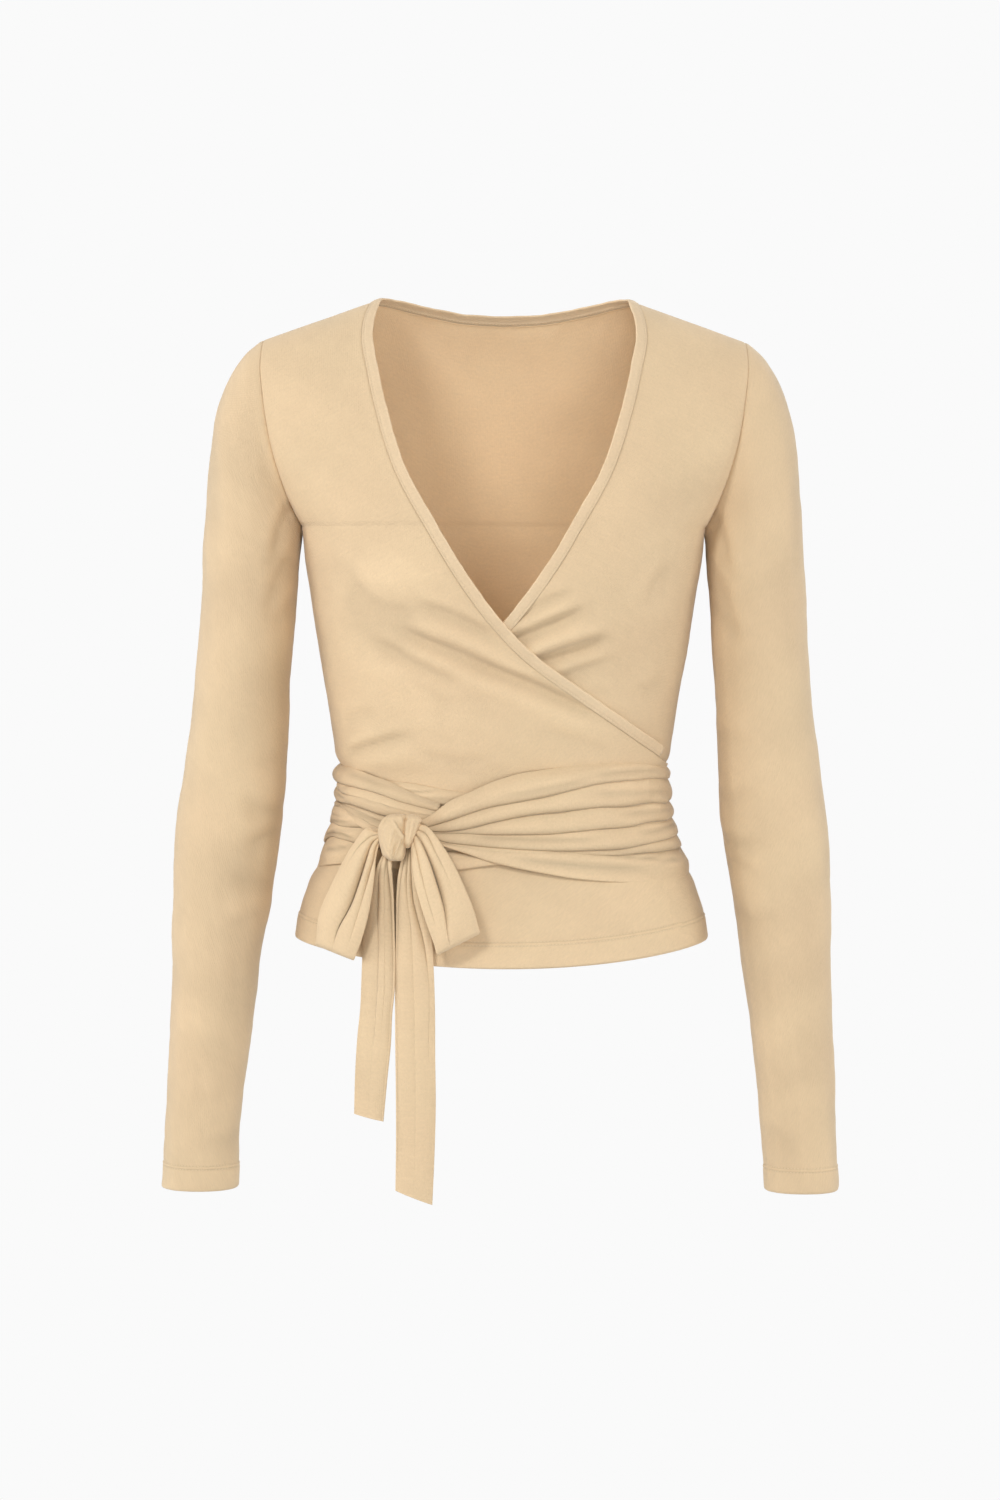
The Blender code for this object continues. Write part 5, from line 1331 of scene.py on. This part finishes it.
def make_tail(name, form, lines, seed):
    """Loose end of a tie: a ribbon that falls from the knot, folded along its length and cut on a slant."""
    low, high = form["z"][-1], form["z"][0]
    upper = np.linspace(0, 1, TAIL_ROWS) ** 1.25 * 0.99
    down = np.concatenate([upper, 1 - EDGE_STEPS[::-1] / (high - low)])
    height = high + 3 - (high + 3 - low) * down
    left, right, out = (look(form, column, height)[:, None] for column in ("left", "right", "out"))
    wide = right - left
    share, relief, shade = pleated(down, wide[:, 0], lines, TAIL_FULL)
    reach = down[:, None]
    z = height[:, None] - TAIL_SLANTS[name] * (share - 0.5) * reach
    relief = relief + ripple(share * wide, reach * 240, 0.5, 60.0, seed) * ease(reach / 0.1)
    edge = np.minimum(np.minimum(share, 1 - share) * wide, (1 - reach) * (high - low))
    # Painted highlight from the relief, painted shade along the fold lines, and the whole tail a little
    # darker.
    painted_shading = np.clip(relief, -1, 1.5) * 0.3 + shade - 0.3
    return ribbon(name, drape(left + wide * share, z, out + relief), edge, painted_shading)


# ---- Stage, in metres
CAMERA_AWAY, CAMERA_TILT, CAMERA_ROLL = 3.0, math.radians(3.2), 0.0045
CAMERA_X, CAMERA_MIDDLE_Z = -0.0026, -0.3192
LENS = 97.3
FLOOR_Z, FLOOR_HALF, FLOOR_PAINT = -1.33, 60.0, 0.55
BACKDROP, FRONT_SHADE = 0.956, 0.22
# Each softbox: where it stands, the point it is turned to, its size and its power in watts.
SOFTBOXES = {
    "key_light": ((-1.9, -3.4, 2.4), (0, 0, -0.35), 1.1, 82),
    "fill_light": ((0.7, -3.4, -0.1), (0, 0, -0.3), 1.5, 37),
    "left_side_light": ((-2.8, -0.8, -0.1), (0, 0, -0.35), 1.2, 24),
    "right_side_light": ((2.8, -0.8, -0.1), (0, 0, -0.35), 1.2, 21),
}


def make_camera():
    """Long lens three metres away, a little above the middle of the garment."""
    data = bpy.data.cameras.new("camera")
    data.lens = LENS
    data.sensor_width = 36.0
    data.clip_end = 60.0
    item = linked("camera", data)
    item.location = (CAMERA_X, -CAMERA_AWAY * math.cos(CAMERA_TILT),
                     CAMERA_MIDDLE_Z + CAMERA_AWAY * math.sin(CAMERA_TILT))
    item.rotation_euler = (math.pi / 2 - CAMERA_TILT, -CAMERA_ROLL, 0)
    bpy.context.scene.camera = item


def make_softbox(name, place, aim, size, power):
    """Square soft light turned towards a point."""
    data = bpy.data.lights.new(name, "AREA")
    data.shape = "SQUARE"
    data.size = size
    data.energy = power
    item = linked(name, data)
    item.location = place
    step = np.array(aim) - np.array(place)
    flat = math.hypot(step[0], step[1])
    item.rotation_euler = (math.atan2(flat, -step[2]), 0, math.atan2(-step[0], step[1]))


def make_floor():
    """Plain pale studio floor. The camera sees it as bright as the backdrop, so that the two meet unseen."""
    material, tree, shader = new_material("painted_studio_floor")
    shader.inputs["Base Color"].default_value = (FLOOR_PAINT, FLOOR_PAINT, FLOOR_PAINT, 1)
    shader.inputs["Roughness"].default_value = 0.9
    shader.inputs["Specular IOR Level"].default_value = 0.0
    glow = node(tree, "Emission", Strength=BACKDROP)
    mixed = node(tree, "MixShader", i0=node(tree, "LightPath"), i1=shader, i2=glow)
    tree.links.new(mixed.outputs[0], tree.nodes["Material Output"].inputs["Surface"])
    corners = np.array([(-1, -1), (1, -1), (1, 1), (-1, 1)]) * FLOOR_HALF
    points = np.column_stack([corners, np.full(4, FLOOR_Z)]) / MM
    mesh_object("floor", points, np.array([[0, 1, 2, 3]]), material)


def make_surround():
    """White backdrop behind the garment and a dim room before it: the backdrop brightens its edges, while its
    front is left to the lights. The camera sees the backdrop all round."""
    world = bpy.data.worlds.new("surround")
    world.use_nodes = True
    tree = world.node_tree
    way = node(tree, "SeparateXYZ", Vector=node(tree, "TexCoord"))
    level = node(tree, "MapRange", From_Min=-0.5, From_Max=0.25, To_Min=FRONT_SHADE, To_Max=BACKDROP,
                 Value=way.outputs["Y"])
    plain = node(tree, "Math", operation="MULTIPLY", i1=BACKDROP, i0=node(tree, "LightPath"))
    shown = node(tree, "Math", operation="MAXIMUM", i0=plain, i1=level)
    tree.links.new(shown.outputs[0], tree.nodes["Background"].inputs["Strength"])
    tree.nodes["Background"].inputs["Color"].default_value = (1, 1, 1, 1)
    bpy.context.scene.world = world


# ---- Settings, operators and panel
class WrapTopSettings(bpy.types.PropertyGroup):
    camel: bpy.props.FloatVectorProperty(name="Camel", description="Colour of the jersey", size=3,
                                         subtype="COLOR", min=0, max=1, default=linear("DDC5A0"))
    rose: bpy.props.FloatVectorProperty(name="Rose camel", description="Warmer tone of the clouds", size=3,
                                        subtype="COLOR", min=0, max=1, default=linear("DCC09C"))
    band: bpy.props.FloatVectorProperty(name="Band", description="Colour of the neckband", size=3,
                                        subtype="COLOR", min=0, max=1, default=linear("E1CAA8"))
    thread: bpy.props.FloatVectorProperty(name="Thread", description="Colour of the stitches", size=3,
                                          subtype="COLOR", min=0, max=1, default=linear("E2CBA8"))
    jersey: bpy.props.FloatProperty(name="Jersey", description="Thickness of the cloth", unit="LENGTH",
                                    default=0.001, min=0.0005, max=0.002)
    nap: bpy.props.FloatProperty(name="Nap", description="How strongly the brushed surface scatters light",
                                 subtype="FACTOR", default=0.3, min=0, max=1)
    pitch: bpy.props.FloatProperty(name="Stitch pitch", description="Length from one stitch to the next",
                                   unit="LENGTH", default=0.0025, min=0.0015, max=0.005)


class WRAPTOP_OT_stage(bpy.types.Operator):
    """Make the camera, lights, floor and surround"""
    bl_idname = "wraptop.stage"
    bl_label = "Stage"

    def execute(self, context):
        make_camera()
        make_surround()
        make_floor()
        for name, values in SOFTBOXES.items():
            make_softbox(name, *values)
        context.scene.view_settings.view_transform = "Standard"
        return {"FINISHED"}


class WRAPTOP_OT_body(bpy.types.Operator):
    """Make both fronts and the back, with the stitches of their hems"""
    bl_idname = "wraptop.body"
    bl_label = "Fronts and back"

    def execute(self, context):
        for name, over, seed, flat in (("right_front", True, 11, (0.37, 0.50)),
                                       ("left_front", False, 21, (0.36, 0.50))):
            item, outer, normal = make_front(name, over, seed)
            if over:
                lines = stitch_lines(outer, normal, (2 - levels()) * (UNDERARM_Z - HEM_FRONT))
        item, found = make_back()
        stitches("hem_stitches", lines + found, 0.24, "jersey")
        return {"FINISHED"}


class WRAPTOP_OT_neckbands(bpy.types.Operator):
    """Make the three stretches of the neckband and their row of stitches"""
    bl_idname = "wraptop.neckbands"
    bl_label = "Neckbands"

    def execute(self, context):
        bands = (make_front_band("neckband_right", True, 31), make_front_band("neckband_left", False, 37),
                 make_back_band())
        stitches("band_stitches", [line for item, line in bands], 0.22, "neckband")
        return {"FINISHED"}


class WRAPTOP_OT_sleeves(bpy.types.Operator):
    """Make both sleeves with the stitches of their cuffs"""
    bl_idname = "wraptop.sleeves"
    bl_label = "Sleeves"

    def execute(self, context):
        lines = []
        for name, rows, right, seed in (("sleeve_left", LEFT_ARM_FOLDS, False, 81),
                                        ("sleeve_right", RIGHT_ARM_FOLDS, True, 91)):
            item, found = make_sleeve(name, rows, right, seed)
            lines += found
        stitches("cuff_stitches", lines, 0.24, "jersey")
        return {"FINISHED"}


class WRAPTOP_OT_ties(bpy.types.Operator):
    """Make the two turns of the ties round the waist"""
    bl_idname = "wraptop.ties"
    bl_label = "Ties"

    def execute(self, context):
        make_first_turn()
        make_second_turn()
        return {"FINISHED"}


class WRAPTOP_OT_bow(bpy.types.Operator):
    """Make the knot, the loops and the tails"""
    bl_idname = "wraptop.bow"
    bl_label = "Bow"

    def execute(self, context):
        for name, form, rows, flat, seed in (("knot_over", OVER_KNOT, OVER_CREASES, (0.045, 0.045), 101),
                                             ("knot_under", UNDER_KNOT, UNDER_CREASES, (0.035, 0.035), 102)):
            make_knot(name, form, rows, seed)
        for name, form, rows, flat, seed in (("loop_left", LOOP_LEFT, LOOP_LEFT_LINES, (0.045, 0.18), 1),
                                             ("loop_right", LOOP_RIGHT, LOOP_RIGHT_LINES, (0.04, 0.16), 4)):
            make_loop(name, form, rows, name == "loop_right", seed)
        for name, form, rows, flat, seed in (("tail_left", TAIL_LEFT, TAIL_LEFT_LINES, (0.028, 0.19), 5),
                                             ("tail_right", TAIL_RIGHT, TAIL_RIGHT_LINES, (0.03, 0.245), 6)):
            make_tail(name, form, rows, seed)
        return {"FINISHED"}


class WRAPTOP_PT_panel(bpy.types.Panel):
    """Sizes, colours and steps of the wrap top"""
    bl_label = "Wrap top"
    bl_idname = "WRAPTOP_PT_panel"
    bl_space_type = "VIEW_3D"
    bl_region_type = "UI"
    bl_category = "Wrap top"

    def draw(self, context):
        for name in WrapTopSettings.__annotations__:
            self.layout.prop(context.scene.wrap_top, name)
        for step in STEPS:
            self.layout.operator(step.bl_idname)


STEPS = (WRAPTOP_OT_stage, WRAPTOP_OT_body, WRAPTOP_OT_neckbands, WRAPTOP_OT_sleeves, WRAPTOP_OT_ties,
         WRAPTOP_OT_bow)
CLASSES = (WrapTopSettings, *STEPS, WRAPTOP_PT_panel)


def register():
    for each in CLASSES:
        bpy.utils.register_class(each)
    bpy.types.Scene.wrap_top = bpy.props.PointerProperty(type=WrapTopSettings)


def unregister():
    del bpy.types.Scene.wrap_top
    for each in reversed(CLASSES):
        bpy.utils.unregister_class(each)


def main():
    register()
    for step in STEPS:
        group, action = step.bl_idname.split(".")
        if getattr(getattr(bpy.ops, group), action)() != {"FINISHED"}:
            raise RuntimeError(step.bl_label + " could not be made")


if __name__ == "__main__":
    main()
